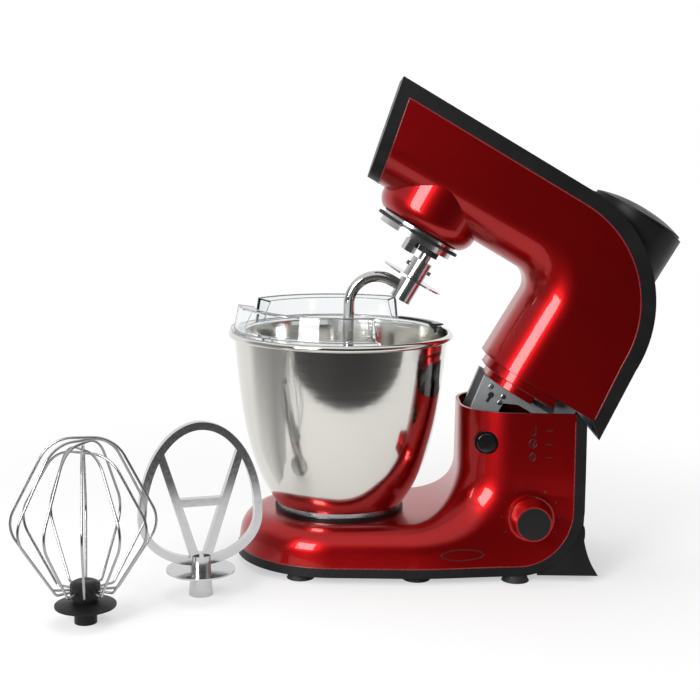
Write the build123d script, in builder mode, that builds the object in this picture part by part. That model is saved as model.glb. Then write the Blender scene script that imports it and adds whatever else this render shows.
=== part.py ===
from build123d import *
import os
from math import cos, pi, radians, sin, tan

# Tilt-head stand mixer with bowl, splash guard, dough hook, whisk and flat beater.
# Millimetres, +Z up, +X towards the rear. The origin is on the worktop, below the bowl's axis.
# The head is drawn lowered over the bowl, and its finished pieces are swung up to the rest pose.

os.makedirs("parts", exist_ok=True)

# Clearances
PANEL_GAP = 0.3
RUNNING_FIT = 0.05
SEAT_FIT = 0.05

# Base: tongue, column and trim
TONGUE_FRONT = -99
BASE_HALF = 93
TONGUE_DRAFT = 5
SHELL_FLOOR = 14
TONGUE_TOP = 50
COLUMN_FRONT = 114
COLUMN_BACK = 221
COLUMN_TOP = 157
COLUMN_DRAW = 5
BACK_DRAW = 25
SIDE_DRAFT = 2
TONGUE_ROUND = 26
NOSE_ROUND = 50
INNER_BEND = 48
OUTER_BEND = 52
WALL = 3
SECTION_DEPTH = 140
BEND_STEPS = 12
TRAY_FLOOR = 6
TRAY_RIM = 5
TRAY_PLATE = 3
TRAY_DRAW = 15
TRIM_DEPTH = 10
TRIM_DROP = 9
TRIM_WALL = 1.5
FOOT_BLOCK_TOP = 58
FOOT_BLOCK_FRONT = 18
FOOT_BLOCK_HEEL = 13
FOOT_BLOCK_WAIST = (3.9, 23.2)
FOOT_BLOCK_DRAW = 13
FOOT_TAPER = 12

# Suction feet
FOOT_RADIUS = 13
FOOT_NECK = 10
FOOT_LIP = 2.2
FOOT_HOLLOW = 3.4
FOOT_CUP = (6.5, 2.7)
FOOT_X = (-35, 74, 167)
FOOT_Y = 74

# Bowl and its twist seat
SEAT_HEIGHT = 3
SEAT_RADIUS = 63
FOOT_RING = 61
FOOT_RING_WIDTH = 5
LUG_COUNT = 3
LUG_ANGLE = 24
LUG_REACH = 5
LUG_THICK = 1.6
TAB_REACH = 6
TAB_GAP = 2
BOWL_WALL = 1.2
BOWL_FLOOR = 59
BOWL_FOOT_RADIUS = 63
BOWL_LOW = (77.9, 84.5)
BOWL_MIDDLE = (91.4, 128)
BOWL_HIGH = (98.4, 172.5)
BOWL_MOUTH = 103.6
BOWL_RIM = 225
RIM_BEAD = 3.2

# Splash guard
GUARD_INSIDE = 93
GUARD_OUTSIDE = 106.5
GUARD_SHEET = 2
GUARD_SKIRT = 7
GUARD_LAP = 1.4
GUARD_SPAN = (20, 290)
WING_FOOT = 103
WING_TOP = 99
WING_INNER = 84
WING_RISE = 22
WING_SLOPE = 2
WING_SPANS = ((184, 288), (56, 148))

# Head, lowered
HINGE_X = 216
HINGE_Z = 136
HEAD_RAISED = 30
HEAD_TOP = 340
HEAD_UNDER = 245
FRONT_TOP = -88
FRONT_FOOT = -69
BACK_RADIUS = 121
BACK_START = 115
TAIL_BACK = 242
TAIL_FOOT = 146
NECK_FOOT = 159
UNDER_BEND = 18
HEAD_HALF_FRONT = 51
HEAD_HALF_REAR = 60
HEAD_ROUND = 45
BAND = 14
CAP_DEPTH = 12
BOSS_RADIUS = 50
BOSS_FOOT_RADIUS = 42
BOSS_BELLY = 48.5
BOSS_DROP = 16
PORT_X = 172
PORT_RADIUS = 48
PORT_RISE = 4
PORT_DROP = 76
PORT_MOUTH = 27
PORT_COVER_RADIUS = 45
PORT_COVER_RISE = 10
PORT_DOME_REACH = 27
PORT_DOME_RISE = 7.9
THUMB_RISE = 12
THUMB_DIP = 4

# Neck collar and hinge
COLLAR_FLANGE = 4
COLLAR_STEPS = ((6, 10, 190), (12, 8, 172))
PIN_RADIUS = 6
HINGE_LUG = 13
ARM_CHEEK_Y = 22
ARM_CHEEK = 8
ARM_PLATE = 6
ARM_FRONT = 128
BLADE_FRONT = 123
BLADE_RAKE = 6
BLADE_BACK = 152
BLADE_FOOT = 100
BLADE_STEP = 127
BLADE_NECK = 133
BLADE_HOLE = 1.6
BLADE_HOLES = ((133.5, 135), (148.6, 132.5), (148.8, 126))
KEYHOLE = (138, 128)
KEYHOLE_RADIUS = 3
KEYHOLE_SLOT = 3
KEYHOLE_LENGTH = 8
CRADLE_CHEEK = 6
CRADLE_FLOOR = 104
CRADLE_GAP = 2

# Planetary hub
RING_TEETH = 60
PLANET_TEETH = 24
PLANET_MODULE = 1.0
RING_FACE = 9
RING_RECESS = 2
RING_OUTSIDE = 37
DRUM_RADIUS = 38
DRUM_HEIGHT = 6
FLANGE_RADIUS = 42.5
FLANGE_THICK = 1.4
HUB_SHAFT = 4.5
NUT_ACROSS = 12.5
NUT_HEIGHT = 13
TOOL_SHAFT = 5.5
TOOL_SHAFT_FOOT = 166
SEAL_RADIUS = 10.4
SEAL_HEIGHT = 6

# Gear train, belt and motor
GEAR_MODULE = 1.4
HUB_TEETH = 48
PINION_TEETH = 16
GEAR_FACE = 9
GEAR_FLOOR = 269
BACKLASH = 0.6
PRESSURE_ANGLE = 20
ADDENDUM = 0.85
DEDENDUM = 1.15
PLATE_THICK = 4
PLATE_GAP_UNDER = 3
PLATE_GAP_OVER = 1
COUNTER_SHAFT = 5
BELT_WHEEL = 38
MOTOR_WHEEL = 8
BELT_WIDTH = 10
BELT_THICK = 2
BELT_FLOOR = 290
WHEEL_FLANGE = 3
WHEEL_RIM = 1.5
PLATE_HALF = 34
POST_RADIUS = 4
POST_SPREAD = 29
BELL_WALL = 5
MOTOR_SHAFT = 4
MOTOR_FLOOR = 190
STATOR_HALF = 38
STATOR_FLOOR = 213
STATOR_HEIGHT = 46
ARMATURE_RADIUS = 22
AIR_GAP = 1
FAN_RADIUS = 34
FAN_BLADES = 9
FAN_FLOOR = 194
FAN_HEIGHT = 9
FAN_SHEET = 1.5
FAN_HUB = 7
FAN_BLADE = 24
FAN_BLADE_REACH = 21
ARMATURE_SLOTS = 12
SLOT_WIDTH = 2
COMMUTATOR_RADIUS = 11
COMMUTATOR_HEIGHT = 12
COIL_WIDTH = 10
COIL_LENGTH = 49.4
COIL_SPREAD = 28.9
COIL_OVERHANG = 8
BRACKET_WIDTH = 16
BRACKET_GAP = 1
LEG_WIDTH = 6
BRUSH_LENGTH = 10
BRUSH_WIDTH = 6
COUPLING_DROP = 9
COUPLING_GRIP = 14
COUPLING_RADIUS = 10

# Dough hook
SLEEVE_RADIUS = 10.3
SLEEVE_TOP = 203
SLEEVE_FOOT = 160
DISC_RADIUS = 31
DISC_RISE = 24
DISC_THICK = 1.5
HOOK_ROD = 5.4
HOOK_EXIT = 171.6
HOOK_SHOULDER = 16.5
HOOK_BEND = 27
HOOK_TURN = 119
HOOK_SHANK = 42
HOOK_TOE_BEND = 16
HOOK_TOE_TURN = 150
CROSS_PIN = 2
CROSS_PIN_HALF = 13
CROSS_PIN_HEIGHT = 195

# Controls
BUTTON_X = 138
BUTTON_Z = 128
BUTTON_RADIUS = 9
BUTTON_SET_IN = 2
BUTTON_LENGTH = 14
BUTTON_ROUND = 1
BEZEL_WIDTH = 1.6
BEZEL_SET_IN = 5
BEZEL_LENGTH = 12
DIAL_BEZEL_LENGTH = 19.5
LATCH_REACH = 40
LATCH_STEM = 4
LATCH_STEM_LENGTH = 9
LATCH_THICK = 3
DIAL_X = 180
DIAL_Z = 60
DIAL_SET_IN = 15
DIAL_FOOT = 20
DIAL_RIM = 16.4
DIAL_HEIGHT = 18
DIAL_FACE = 15.2
DIAL_SHAFT = 3
DIAL_SHAFT_GAP = 1
DIAL_INLAY = 2
DIAL_SHAFT_LENGTH = 34
SWITCH_SIZE = 28
BOARD_X = 96
BOARD_LENGTH = 70
BOARD_WIDTH = 80
BOARD_POSTS = (56, 64)
BOARD_HEIGHT = 8
BOARD_THICK = 1.6
GLAND_HEIGHT = 24
GLAND_RADIUS = 7
GLAND_BORE = 3.5
SCREW_HEAD = 3.5
SCREW_SLOT = 0.9
SCREW_SLOT_LENGTH = 5.6
SCREW_RISE = 1.2
TRAY_SCREWS = ((-70, 0), (40, -60), (40, 60), (150, -40), (150, 40))

# Loose tools, standing on their shanks
TOOL_BORE = TOOL_SHAFT + RUNNING_FIT
BORE_DEPTH = 24
WHISK_AT = (-212, -198)
WHISK_HEIGHT = 161
WHISK_SHANK = 9.6
WHISK_SHANK_HEIGHT = 13
WHISK_DISC = 26
WHISK_NECK = 10
WHISK_NECK_HEIGHT = 21
WHISK_CAP = 12.7
WHISK_CAP_HEIGHT = 37
WHISK_CAP_ROUND = 9.5
WHISK_CAP_FLAT = 3.8
WIRE_RADIUS = 1.1
WIRE_LOOPS = 6
WIRE_STEP = 2.6
WIRE_EXIT = 29
WIRE_ELBOW = 27
WIRE_WIDEST = 64
WIRE_WIDEST_HEIGHT = 86
WIRE_CROWN = 26
WIRE_TURN = 10
WIRE_BENDS = [4, 26, 30]
BEATER_AT = (-123, -124)
BEATER_TURN = 18
BEATER_HEIGHT = 159
BEATER_HALF = 56
BEATER_WIDEST_HEIGHT = 72
BEATER_FLOOR = 28
BEATER_BAR = 7
BEATER_FORK = 8.4
BEATER_THICK = 8
BEATER_CROSSBAR = 86
BEATER_CROSSBAR_LENGTH = 42
BEATER_SPLAY = 33
BEATER_SPLAY_HEIGHT = 133
BEATER_DISC = 31
BEATER_DISC_HEIGHT = 21
BEATER_HUB = 9.3
BEATER_HUB_HEIGHT = 37
BEATER_SHANK = 10.9

# Derived places
BEND_X = COLUMN_FRONT - INNER_BEND
BEND_Z = TONGUE_TOP + INNER_BEND
CORNER_X = COLUMN_BACK - OUTER_BEND
ROUND_X = TONGUE_FRONT + BASE_HALF
TRAY_BACK_HALF = BASE_HALF - TRAY_DRAW
BACK_HALF = BASE_HALF - BACK_DRAW
COLUMN_HALF = BACK_HALF - COLUMN_DRAW
TRIM_BACK = COLUMN_BACK + TRIM_DEPTH
TRIM_BEND = OUTER_BEND + TRIM_DEPTH
BUTTON_FACE = COLUMN_HALF - BUTTON_SET_IN
BEZEL_FACE = COLUMN_HALF - BEZEL_SET_IN
DIAL_SEAT = BASE_HALF - DIAL_SET_IN
SEAT_TOP = TONGUE_TOP + SEAT_HEIGHT
BOWL_UNDER = BOWL_FLOOR - BOWL_WALL
BACK_CENTRE = HEAD_TOP - BACK_RADIUS
PORT_TOP = HEAD_TOP + PORT_RISE
BOSS_FOOT = HEAD_UNDER - BOSS_DROP
DISC_HEIGHT = SLEEVE_FOOT + DISC_RISE
PLANET_OFFSET = (RING_TEETH - PLANET_TEETH) * PLANET_MODULE / 2
COUNTER_X = (HUB_TEETH + PINION_TEETH) * GEAR_MODULE / 2
LEG_SPREAD = FAN_RADIUS + LEG_WIDTH
PLATE_POSTS = [
    (x, side * POST_SPREAD) for x in (-POST_SPREAD, COUNTER_X + POST_SPREAD) for side in (-1, 1)
]
HINGE_AXIS = Axis((HINGE_X, 0, HINGE_Z), (0, 1, 0))
UPWARD = (Align.CENTER, Align.CENTER, Align.MIN)


def lerp(start, end, share):
    """Value a share of the way from start to end."""
    return start + (end - start) * share


def upright(x, y):
    """Vertical sketch plane through (x, y), its x along X and its y along Z."""
    return Plane((x, y, 0), (1, 0, 0), (0, -1, 0))


def base_section(inset, turn, draw=0):
    """Outline across the base, turned round its bend from the tongue (0) to the column (90 degrees).

    Its y is 0 at the side that faces the bowl, and it runs on past the base's floor and back.
    """
    share = sin(radians(turn)) ** 2
    shoulder = lerp(BASE_HALF - TONGUE_DRAFT, BACK_HALF - SIDE_DRAFT, share) - draw - inset
    slope = lerp(TONGUE_DRAFT / (TONGUE_TOP - SHELL_FLOOR), SIDE_DRAFT / (COLUMN_BACK - COLUMN_FRONT), share)
    spread = shoulder + slope * SECTION_DEPTH
    with BuildSketch() as section:
        with BuildLine():
            Polyline(
                (spread, -SECTION_DEPTH),
                (shoulder, -inset),
                (-shoulder, -inset),
                (-spread, -SECTION_DEPTH),
                close=True,
            )
        make_face()
        fillet(section.vertices().group_by(Axis.Y)[-1], lerp(TONGUE_ROUND, NOSE_ROUND, share) - inset)
    return section.sketch


def section_plane(x, z, turn):
    """Plane of a base section, its x along Y and its y towards the bend's centre."""
    return Plane((x, 0, z), (0, 1, 0), (cos(radians(turn)), 0, sin(radians(turn))))


def base_form(inset):
    """The base drawn in by inset: round front, straight tongue, bend and column, open below."""
    with BuildPart() as form:
        with BuildSketch(section_plane(BEND_X, TONGUE_TOP, 0)):
            add(base_section(inset, 0))
        extrude(amount=ROUND_X - BEND_X)
        with BuildSketch(section_plane(ROUND_X, TONGUE_TOP, 0)):
            add(base_section(inset, 0))
            split(bisect_by=Plane.YZ, keep=Keep.TOP)
        revolve(axis=Axis((ROUND_X, 0, 0), (0, 0, 1)), revolution_arc=180)
        for step in range(BEND_STEPS + 1):
            turn = 90 / BEND_STEPS * step
            x = BEND_X + INNER_BEND * sin(radians(turn))
            z = BEND_Z - INNER_BEND * cos(radians(turn))
            with BuildSketch(section_plane(x, z, turn)):
                add(base_section(inset, turn))
        with BuildSketch(section_plane(COLUMN_FRONT, COLUMN_TOP + WALL, 90)):
            add(base_section(inset, 90, COLUMN_DRAW))
        loft(ruled=True)
    return form.part


def base_zone(floor, bend, back):
    """Everything in front of and above the base's side outline: floor, rounded heel and back."""
    with BuildPart() as zone:
        with BuildSketch(Plane.XZ):
            with BuildLine():
                under = Line((TONGUE_FRONT - WALL, floor), (back - bend, floor))
                heel = CenterArc((back - bend, floor + bend), bend, 270, 90)
                Polyline(heel @ 1, (back, COLUMN_TOP), (TONGUE_FRONT - WALL, COLUMN_TOP), under @ 0)
            make_face()
        extrude(amount=2 * BASE_HALF, both=True)
    return zone.part


base_full = base_form(0)
shell_zone = base_zone(SHELL_FLOOR, OUTER_BEND, COLUMN_BACK)
trim_zone = base_zone(TRAY_FLOOR, TRIM_BEND, TRIM_BACK)

with BuildPart() as base_outside:
    add(base_full)
    add(shell_zone, mode=Mode.INTERSECT)
base_solid = base_outside.part

with BuildPart() as base_shell:
    add(base_solid)
    add(base_form(WALL), mode=Mode.SUBTRACT)
    with BuildSketch(Plane.XZ):
        with Locations((DIAL_X, DIAL_Z)):
            Circle(DIAL_SHAFT + DIAL_SHAFT_GAP)
        with Locations((BUTTON_X, BUTTON_Z)):
            Circle(BUTTON_RADIUS + PANEL_GAP + BEZEL_WIDTH)
    extrude(amount=BASE_HALF + WALL, mode=Mode.SUBTRACT)
    with Locations((0, 0, TONGUE_TOP)):
        Cylinder(SEAT_RADIUS + PANEL_GAP, SEAT_HEIGHT, align=UPWARD, mode=Mode.SUBTRACT)

# Black trim: a tray under the shell that goes on round its heel and up the column's back
with BuildPart() as base_tray:
    add(base_full)
    add(trim_zone, mode=Mode.INTERSECT)
    split(bisect_by=Plane.XY.offset(SHELL_FLOOR), keep=Keep.BOTTOM)
    split(bisect_by=Plane.YZ.offset(CORNER_X), keep=Keep.BOTTOM)
    with BuildSketch(Plane.XY.offset(TRAY_FLOOR + TRAY_PLATE)):
        with BuildLine():
            front = CenterArc((ROUND_X, 0), BASE_HALF - TRAY_RIM, 90, 180)
            Polyline(
                front @ 1,
                (BEND_X, TRAY_RIM - BASE_HALF),
                (CORNER_X - TRAY_RIM, TRAY_RIM - TRAY_BACK_HALF),
                (CORNER_X - TRAY_RIM, TRAY_BACK_HALF - TRAY_RIM),
                (BEND_X, BASE_HALF - TRAY_RIM),
                front @ 0,
            )
        make_face()
    extrude(amount=SHELL_FLOOR, mode=Mode.SUBTRACT)

with BuildPart() as suction_feet:
    for x in FOOT_X:
        for y in (-FOOT_Y, FOOT_Y):
            with BuildSketch(upright(x, y)):
                with BuildLine():
                    lip = Line((FOOT_RADIUS, 0), (FOOT_RADIUS - FOOT_LIP, 0))
                    cup = ThreePointArc(lip @ 1, FOOT_CUP, (FOOT_LIP, FOOT_HOLLOW))
                    crown = Polyline(cup @ 1, (0, FOOT_HOLLOW), (0, TRAY_FLOOR))
                    Polyline(crown @ 1, (FOOT_NECK, TRAY_FLOOR), lip @ 0)
                make_face()
            revolve(axis=Axis((x, y, 0), (0, 0, 1)))

with BuildPart() as back_trim:
    add(base_full)
    add(trim_zone, mode=Mode.INTERSECT)
    add(shell_zone, mode=Mode.SUBTRACT)
    split(bisect_by=Plane.YZ.offset(CORNER_X), keep=Keep.TOP)
    with BuildSketch(Plane.XZ):
        Polygon(
            (TRIM_BACK, COLUMN_TOP - TRIM_DROP),
            (TRIM_BACK, COLUMN_TOP),
            (COLUMN_BACK, COLUMN_TOP),
            align=None,
        )
    extrude(amount=BASE_HALF, both=True, mode=Mode.SUBTRACT)
    with BuildSketch(Plane.YZ):
        Polygon(
            (TRAY_RIM - BACK_HALF, BEND_Z),
            (BACK_HALF - TRAY_RIM, BEND_Z),
            (COLUMN_HALF - TRAY_RIM, COLUMN_TOP),
            (TRAY_RIM - COLUMN_HALF, COLUMN_TOP),
            align=None,
        )
    extrude(amount=TRIM_BACK - TRIM_WALL, mode=Mode.SUBTRACT)

with BuildPart() as rear_foot:
    with BuildSketch(Plane.XZ):
        with BuildLine():
            foot_front = CORNER_X + FOOT_BLOCK_FRONT
            sole = Line((foot_front, TRAY_FLOOR), (TRIM_BACK + FOOT_BLOCK_HEEL, TRAY_FLOOR))
            heel = ThreePointArc(
                sole @ 1,
                (TRIM_BACK + FOOT_BLOCK_WAIST[0], FOOT_BLOCK_WAIST[1]),
                (TRIM_BACK, FOOT_BLOCK_TOP),
            )
            Polyline(heel @ 1, (foot_front, FOOT_BLOCK_TOP), sole @ 0)
        make_face()
    extrude(amount=BASE_HALF, both=True)
    with BuildSketch(Plane.YZ):
        foot_half = BASE_HALF - FOOT_BLOCK_DRAW
        Polygon(
            (-foot_half, 0),
            (foot_half, 0),
            (foot_half - FOOT_TAPER, FOOT_BLOCK_TOP),
            (FOOT_TAPER - foot_half, FOOT_BLOCK_TOP),
            align=None,
        )
    extrude(amount=TRIM_BACK + FOOT_BLOCK_HEEL, mode=Mode.INTERSECT)
    add(trim_zone, mode=Mode.SUBTRACT)

# Bowl seat: a disc with a collar whose tabs hold the foot ring's lugs
TAB_FLOOR = SEAT_TOP + LUG_THICK + 2 * PANEL_GAP
COLLAR_RADIUS = FOOT_RING - FOOT_RING_WIDTH - TAB_REACH - TAB_GAP
with BuildPart() as bowl_seat:
    with Locations((0, 0, TONGUE_TOP)):
        Cylinder(SEAT_RADIUS, SEAT_HEIGHT, align=UPWARD)
    with Locations((0, 0, SEAT_TOP)):
        Cylinder(COLLAR_RADIUS, TAB_FLOOR + LUG_THICK - SEAT_TOP, align=UPWARD)
    for turn in range(LUG_COUNT):
        with BuildSketch(Plane.XY.offset(TAB_FLOOR)):
            with BuildLine():
                start = 360 / LUG_COUNT * turn - LUG_ANGLE / 2
                tab = CenterArc((0, 0), COLLAR_RADIUS + TAB_REACH, start, LUG_ANGLE)
                Polyline(tab @ 1, (0, 0), tab @ 0)
            make_face()
        extrude(amount=LUG_THICK)

with BuildPart() as bowl_foot:
    with BuildSketch(Plane.XY.offset(SEAT_TOP)):
        Circle(FOOT_RING)
        Circle(FOOT_RING - FOOT_RING_WIDTH, mode=Mode.SUBTRACT)
    extrude(amount=BOWL_UNDER - SEAT_TOP)
    for turn in range(LUG_COUNT):
        with BuildSketch(Plane.XY.offset(SEAT_TOP + PANEL_GAP)):
            with BuildLine():
                start = 360 / LUG_COUNT * turn - LUG_ANGLE / 2
                lug = CenterArc((0, 0), FOOT_RING - FOOT_RING_WIDTH / 2, start, LUG_ANGLE)
                inner = CenterArc((0, 0), FOOT_RING - FOOT_RING_WIDTH - LUG_REACH, start, LUG_ANGLE)
                Line(lug @ 0, inner @ 0)
                Line(lug @ 1, inner @ 1)
            make_face()
        extrude(amount=LUG_THICK)

with BuildPart() as bowl_shell:
    with BuildSketch(Plane.XZ):
        with BuildLine():
            rim_joint = (BOWL_MOUTH, BOWL_RIM - RIM_BEAD)
            outside = Spline((BOWL_FOOT_RADIUS, BOWL_UNDER), BOWL_LOW, BOWL_MIDDLE, BOWL_HIGH, rim_joint)
            inside = Spline(
                (BOWL_FOOT_RADIUS - BOWL_WALL, BOWL_FLOOR),
                (BOWL_LOW[0] - BOWL_WALL, BOWL_LOW[1]),
                (BOWL_MIDDLE[0] - BOWL_WALL, BOWL_MIDDLE[1]),
                (BOWL_HIGH[0] - BOWL_WALL, BOWL_HIGH[1]),
                (BOWL_MOUTH - BOWL_WALL, BOWL_RIM - RIM_BEAD),
            )
            Polyline(outside @ 0, (0, BOWL_UNDER), (0, BOWL_FLOOR), inside @ 0)
            Line(outside @ 1, inside @ 1)
        make_face()
        with Locations((BOWL_MOUTH + RIM_BEAD - BOWL_WALL, BOWL_RIM - RIM_BEAD)):
            Circle(RIM_BEAD)
    revolve(axis=Axis.Z)

def spoke(angle):
    """Upright sketch plane through the bowl's axis, its x along the given direction."""
    across = Vector(cos(radians(angle)), sin(radians(angle)), 0)
    return Plane((0, 0, 0), across, across.cross(Vector(0, 0, 1)))


# Splash guard: an open ring on the rim, a skirt inside the mouth and two raised wings beside a chute
GUARD_FLOOR = BOWL_RIM + PANEL_GAP
GUARD_TOP = GUARD_FLOOR + GUARD_SHEET
SKIRT_OUTSIDE = BOWL_MOUTH - BOWL_WALL - GUARD_LAP
WING_CREST = GUARD_TOP + WING_RISE
with BuildPart() as splash_guard:
    with BuildSketch(spoke(GUARD_SPAN[0])):
        Polygon(
            (GUARD_INSIDE, GUARD_FLOOR),
            (SKIRT_OUTSIDE - GUARD_SHEET, GUARD_FLOOR),
            (SKIRT_OUTSIDE - GUARD_SHEET, GUARD_FLOOR - GUARD_SKIRT),
            (SKIRT_OUTSIDE, GUARD_FLOOR - GUARD_SKIRT),
            (SKIRT_OUTSIDE, GUARD_FLOOR),
            (GUARD_OUTSIDE, GUARD_FLOOR),
            (GUARD_OUTSIDE, GUARD_TOP),
            (GUARD_INSIDE, GUARD_TOP),
            align=None,
        )
    revolve(axis=Axis.Z, revolution_arc=GUARD_SPAN[1] - GUARD_SPAN[0])
    for first, last in WING_SPANS:
        with BuildSketch(spoke(first)):
            Polygon(
                (WING_FOOT, GUARD_TOP),
                (WING_TOP, WING_CREST),
                (WING_INNER, WING_CREST - WING_SLOPE),
                (WING_INNER, WING_CREST - WING_SLOPE - GUARD_SHEET),
                (WING_TOP - GUARD_SHEET, WING_CREST - GUARD_SHEET),
                (WING_FOOT - GUARD_SHEET, GUARD_TOP),
                align=None,
            )
        revolve(axis=Axis.Z, revolution_arc=last - first)
        for end, side in ((first, 1), (last, -1)):
            with BuildSketch(spoke(end)):
                Polygon(
                    (WING_FOOT, GUARD_TOP),
                    (WING_TOP, WING_CREST),
                    (WING_INNER, WING_CREST - WING_SLOPE),
                    (GUARD_INSIDE, GUARD_TOP),
                    align=None,
                )
            extrude(amount=-side * GUARD_SHEET)


def front_x(z):
    """Front of the head at a height."""
    return lerp(FRONT_FOOT, FRONT_TOP, (z - HEAD_UNDER) / (HEAD_TOP - HEAD_UNDER))


def back_x(z):
    """Back of the head at a height below its round."""
    return lerp(TAIL_BACK, BACK_START + BACK_RADIUS, (z - TAIL_FOOT) / (BACK_CENTRE - TAIL_FOOT))


def head_face(outer, inner, front, tail, foot):
    """Side outline of the head: outer draws in its top and back, inner its underside and neck."""
    with BuildSketch(Plane.XZ) as face:
        with BuildLine():
            top = Line((front_x(HEAD_TOP - outer) + front, HEAD_TOP - outer), (BACK_START, HEAD_TOP - outer))
            back = CenterArc((BACK_START, BACK_CENTRE), BACK_RADIUS - outer, 90, -90)
            neck_front = COLUMN_FRONT + inner
            Polyline(back @ 1, *tail, (neck_front, foot), (neck_front, HEAD_UNDER - UNDER_BEND))
            bend = CenterArc(
                (COLUMN_FRONT - UNDER_BEND, HEAD_UNDER - UNDER_BEND), UNDER_BEND + inner, 0, 90
            )
            Polyline(bend @ 1, (front_x(HEAD_UNDER + inner) + front, HEAD_UNDER + inner), top @ 0)
        make_face()
    return face.sketch


def head_form(outer, inner, tail, foot):
    """The head as one solid: side outline, tapered plan and a round along underside and neck."""
    with BuildPart() as form:
        extrude(head_face(outer, inner, inner, tail, foot), amount=HEAD_HALF_REAR, both=True)
        with BuildSketch(Plane.XY):
            Polygon(
                (FRONT_TOP, inner - HEAD_HALF_FRONT),
                (TAIL_BACK, inner - HEAD_HALF_REAR),
                (TAIL_BACK, HEAD_HALF_REAR - inner),
                (FRONT_TOP, HEAD_HALF_FRONT - inner),
                align=None,
            )
        extrude(amount=HEAD_TOP, mode=Mode.INTERSECT)
        underside = form.faces().filter_by(Plane.XY).sort_by(Axis.Z)[1]
        bend = form.faces().filter_by(GeomType.CYLINDER).sort_by(Axis.Z)[0]
        neck = form.faces().filter_by(Plane.YZ).sort_by(Axis.X)[0]
        rounded = underside.edges() + bend.edges() + neck.edges()
        fillet(rounded.filter_by(Axis.Y, reverse=True), HEAD_ROUND - inner)
    return form.part


OPEN_FOOT = NECK_FOOT - BAND
head_solid = head_form(
    0, 0, ((TAIL_BACK, TAIL_FOOT), (back_x(NECK_FOOT) - BAND, NECK_FOOT)), NECK_FOOT
)
head_hollow = head_form(WALL, WALL, ((back_x(OPEN_FOOT) - WALL, OPEN_FOOT),), OPEN_FOOT)

with BuildPart() as red_zone:
    red_face = head_face(BAND, 0, CAP_DEPTH, ((back_x(NECK_FOOT) - BAND, NECK_FOOT),), NECK_FOOT)
    extrude(red_face, amount=HEAD_HALF_REAR, both=True)

with BuildPart() as cap_zone:
    with BuildSketch(Plane.XZ):
        Polygon(
            (FRONT_TOP - CAP_DEPTH, HEAD_UNDER),
            (FRONT_FOOT + CAP_DEPTH, HEAD_UNDER),
            (FRONT_TOP + CAP_DEPTH, HEAD_TOP),
            (FRONT_TOP - CAP_DEPTH, HEAD_TOP),
            align=None,
        )
    extrude(amount=HEAD_HALF_REAR, both=True)

with BuildPart() as head_shell:
    add(head_solid)
    add(red_zone.part, mode=Mode.INTERSECT)
    add(head_hollow, mode=Mode.SUBTRACT)
    with Locations((0, 0, BOSS_FOOT)):
        Cylinder(RING_OUTSIDE + SEAT_FIT, HEAD_ROUND + BOSS_DROP, align=UPWARD, mode=Mode.SUBTRACT)

with BuildPart() as hub_boss:
    with BuildSketch(Plane.XZ):
        with BuildLine():
            foot = Line((RING_OUTSIDE + SEAT_FIT, BOSS_FOOT), (BOSS_FOOT_RADIUS, BOSS_FOOT))
            belly = ThreePointArc(
                foot @ 1, (BOSS_BELLY, BOSS_FOOT + BOSS_DROP / 2), (BOSS_RADIUS, HEAD_UNDER)
            )
            Polyline(
                belly @ 1,
                (BOSS_RADIUS, HEAD_UNDER + HEAD_ROUND),
                (RING_OUTSIDE + SEAT_FIT, HEAD_UNDER + HEAD_ROUND),
                foot @ 0,
            )
        make_face()
    revolve(axis=Axis.Z)
    add(head_solid, mode=Mode.SUBTRACT)

with BuildPart() as front_cap:
    add(head_solid)
    add(cap_zone.part, mode=Mode.INTERSECT)
    add(head_hollow, mode=Mode.SUBTRACT)

with BuildPart() as top_cover:
    add(head_solid)
    with Locations((PORT_X, 0, PORT_TOP - PORT_DROP)):
        Cylinder(PORT_RADIUS, PORT_DROP, align=UPWARD)
    add(red_zone.part, mode=Mode.SUBTRACT)
    add(cap_zone.part, mode=Mode.SUBTRACT)
    add(head_hollow, mode=Mode.SUBTRACT)
    with Locations((PORT_X, 0, PORT_TOP - PORT_DROP)):
        Cylinder(PORT_RADIUS - WALL, PORT_DROP - WALL, align=UPWARD, mode=Mode.SUBTRACT)
        Cylinder(PORT_MOUTH, PORT_DROP, align=UPWARD, mode=Mode.SUBTRACT)

with BuildPart() as port_cover:
    with BuildSketch(upright(PORT_X, 0)):
        with BuildLine():
            plug = Polyline(
                (0, PORT_TOP - WALL),
                (PORT_MOUTH - PANEL_GAP, PORT_TOP - WALL),
                (PORT_MOUTH - PANEL_GAP, PORT_TOP + PANEL_GAP),
                (PORT_COVER_RADIUS, PORT_TOP + PANEL_GAP),
                (PORT_COVER_RADIUS, PORT_TOP + WALL),
            )
            dome = ThreePointArc(
                plug @ 1,
                (PORT_DOME_REACH, PORT_TOP + PORT_DOME_RISE),
                (WALL, PORT_TOP + PORT_COVER_RISE),
            )
            Polyline(dome @ 1, (0, PORT_TOP + PORT_COVER_RISE), plug @ 0)
        make_face()
    revolve(axis=Axis((PORT_X, 0, 0), (0, 0, 1)))
    with Locations((PORT_X + PORT_DOME_REACH - THUMB_DIP, 0, PORT_TOP + PORT_COVER_RISE + THUMB_RISE)):
        Sphere(THUMB_RISE + THUMB_DIP, mode=Mode.SUBTRACT)


def neck_plan(inset, back):
    """Plan of the neck, round at the front, drawn in by inset."""
    half = lerp(HEAD_HALF_FRONT, HEAD_HALF_REAR, (COLUMN_FRONT - FRONT_TOP) / (TAIL_BACK - FRONT_TOP))
    with BuildSketch() as plan:
        with BuildLine():
            Polyline(
                (back, inset - half),
                (COLUMN_FRONT + inset, inset - half),
                (COLUMN_FRONT + inset, half - inset),
                (back, half - inset),
                close=True,
            )
        make_face()
        fillet(plan.vertices().group_by(Axis.X)[0], HEAD_ROUND - inset)
    return plan.sketch


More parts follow.
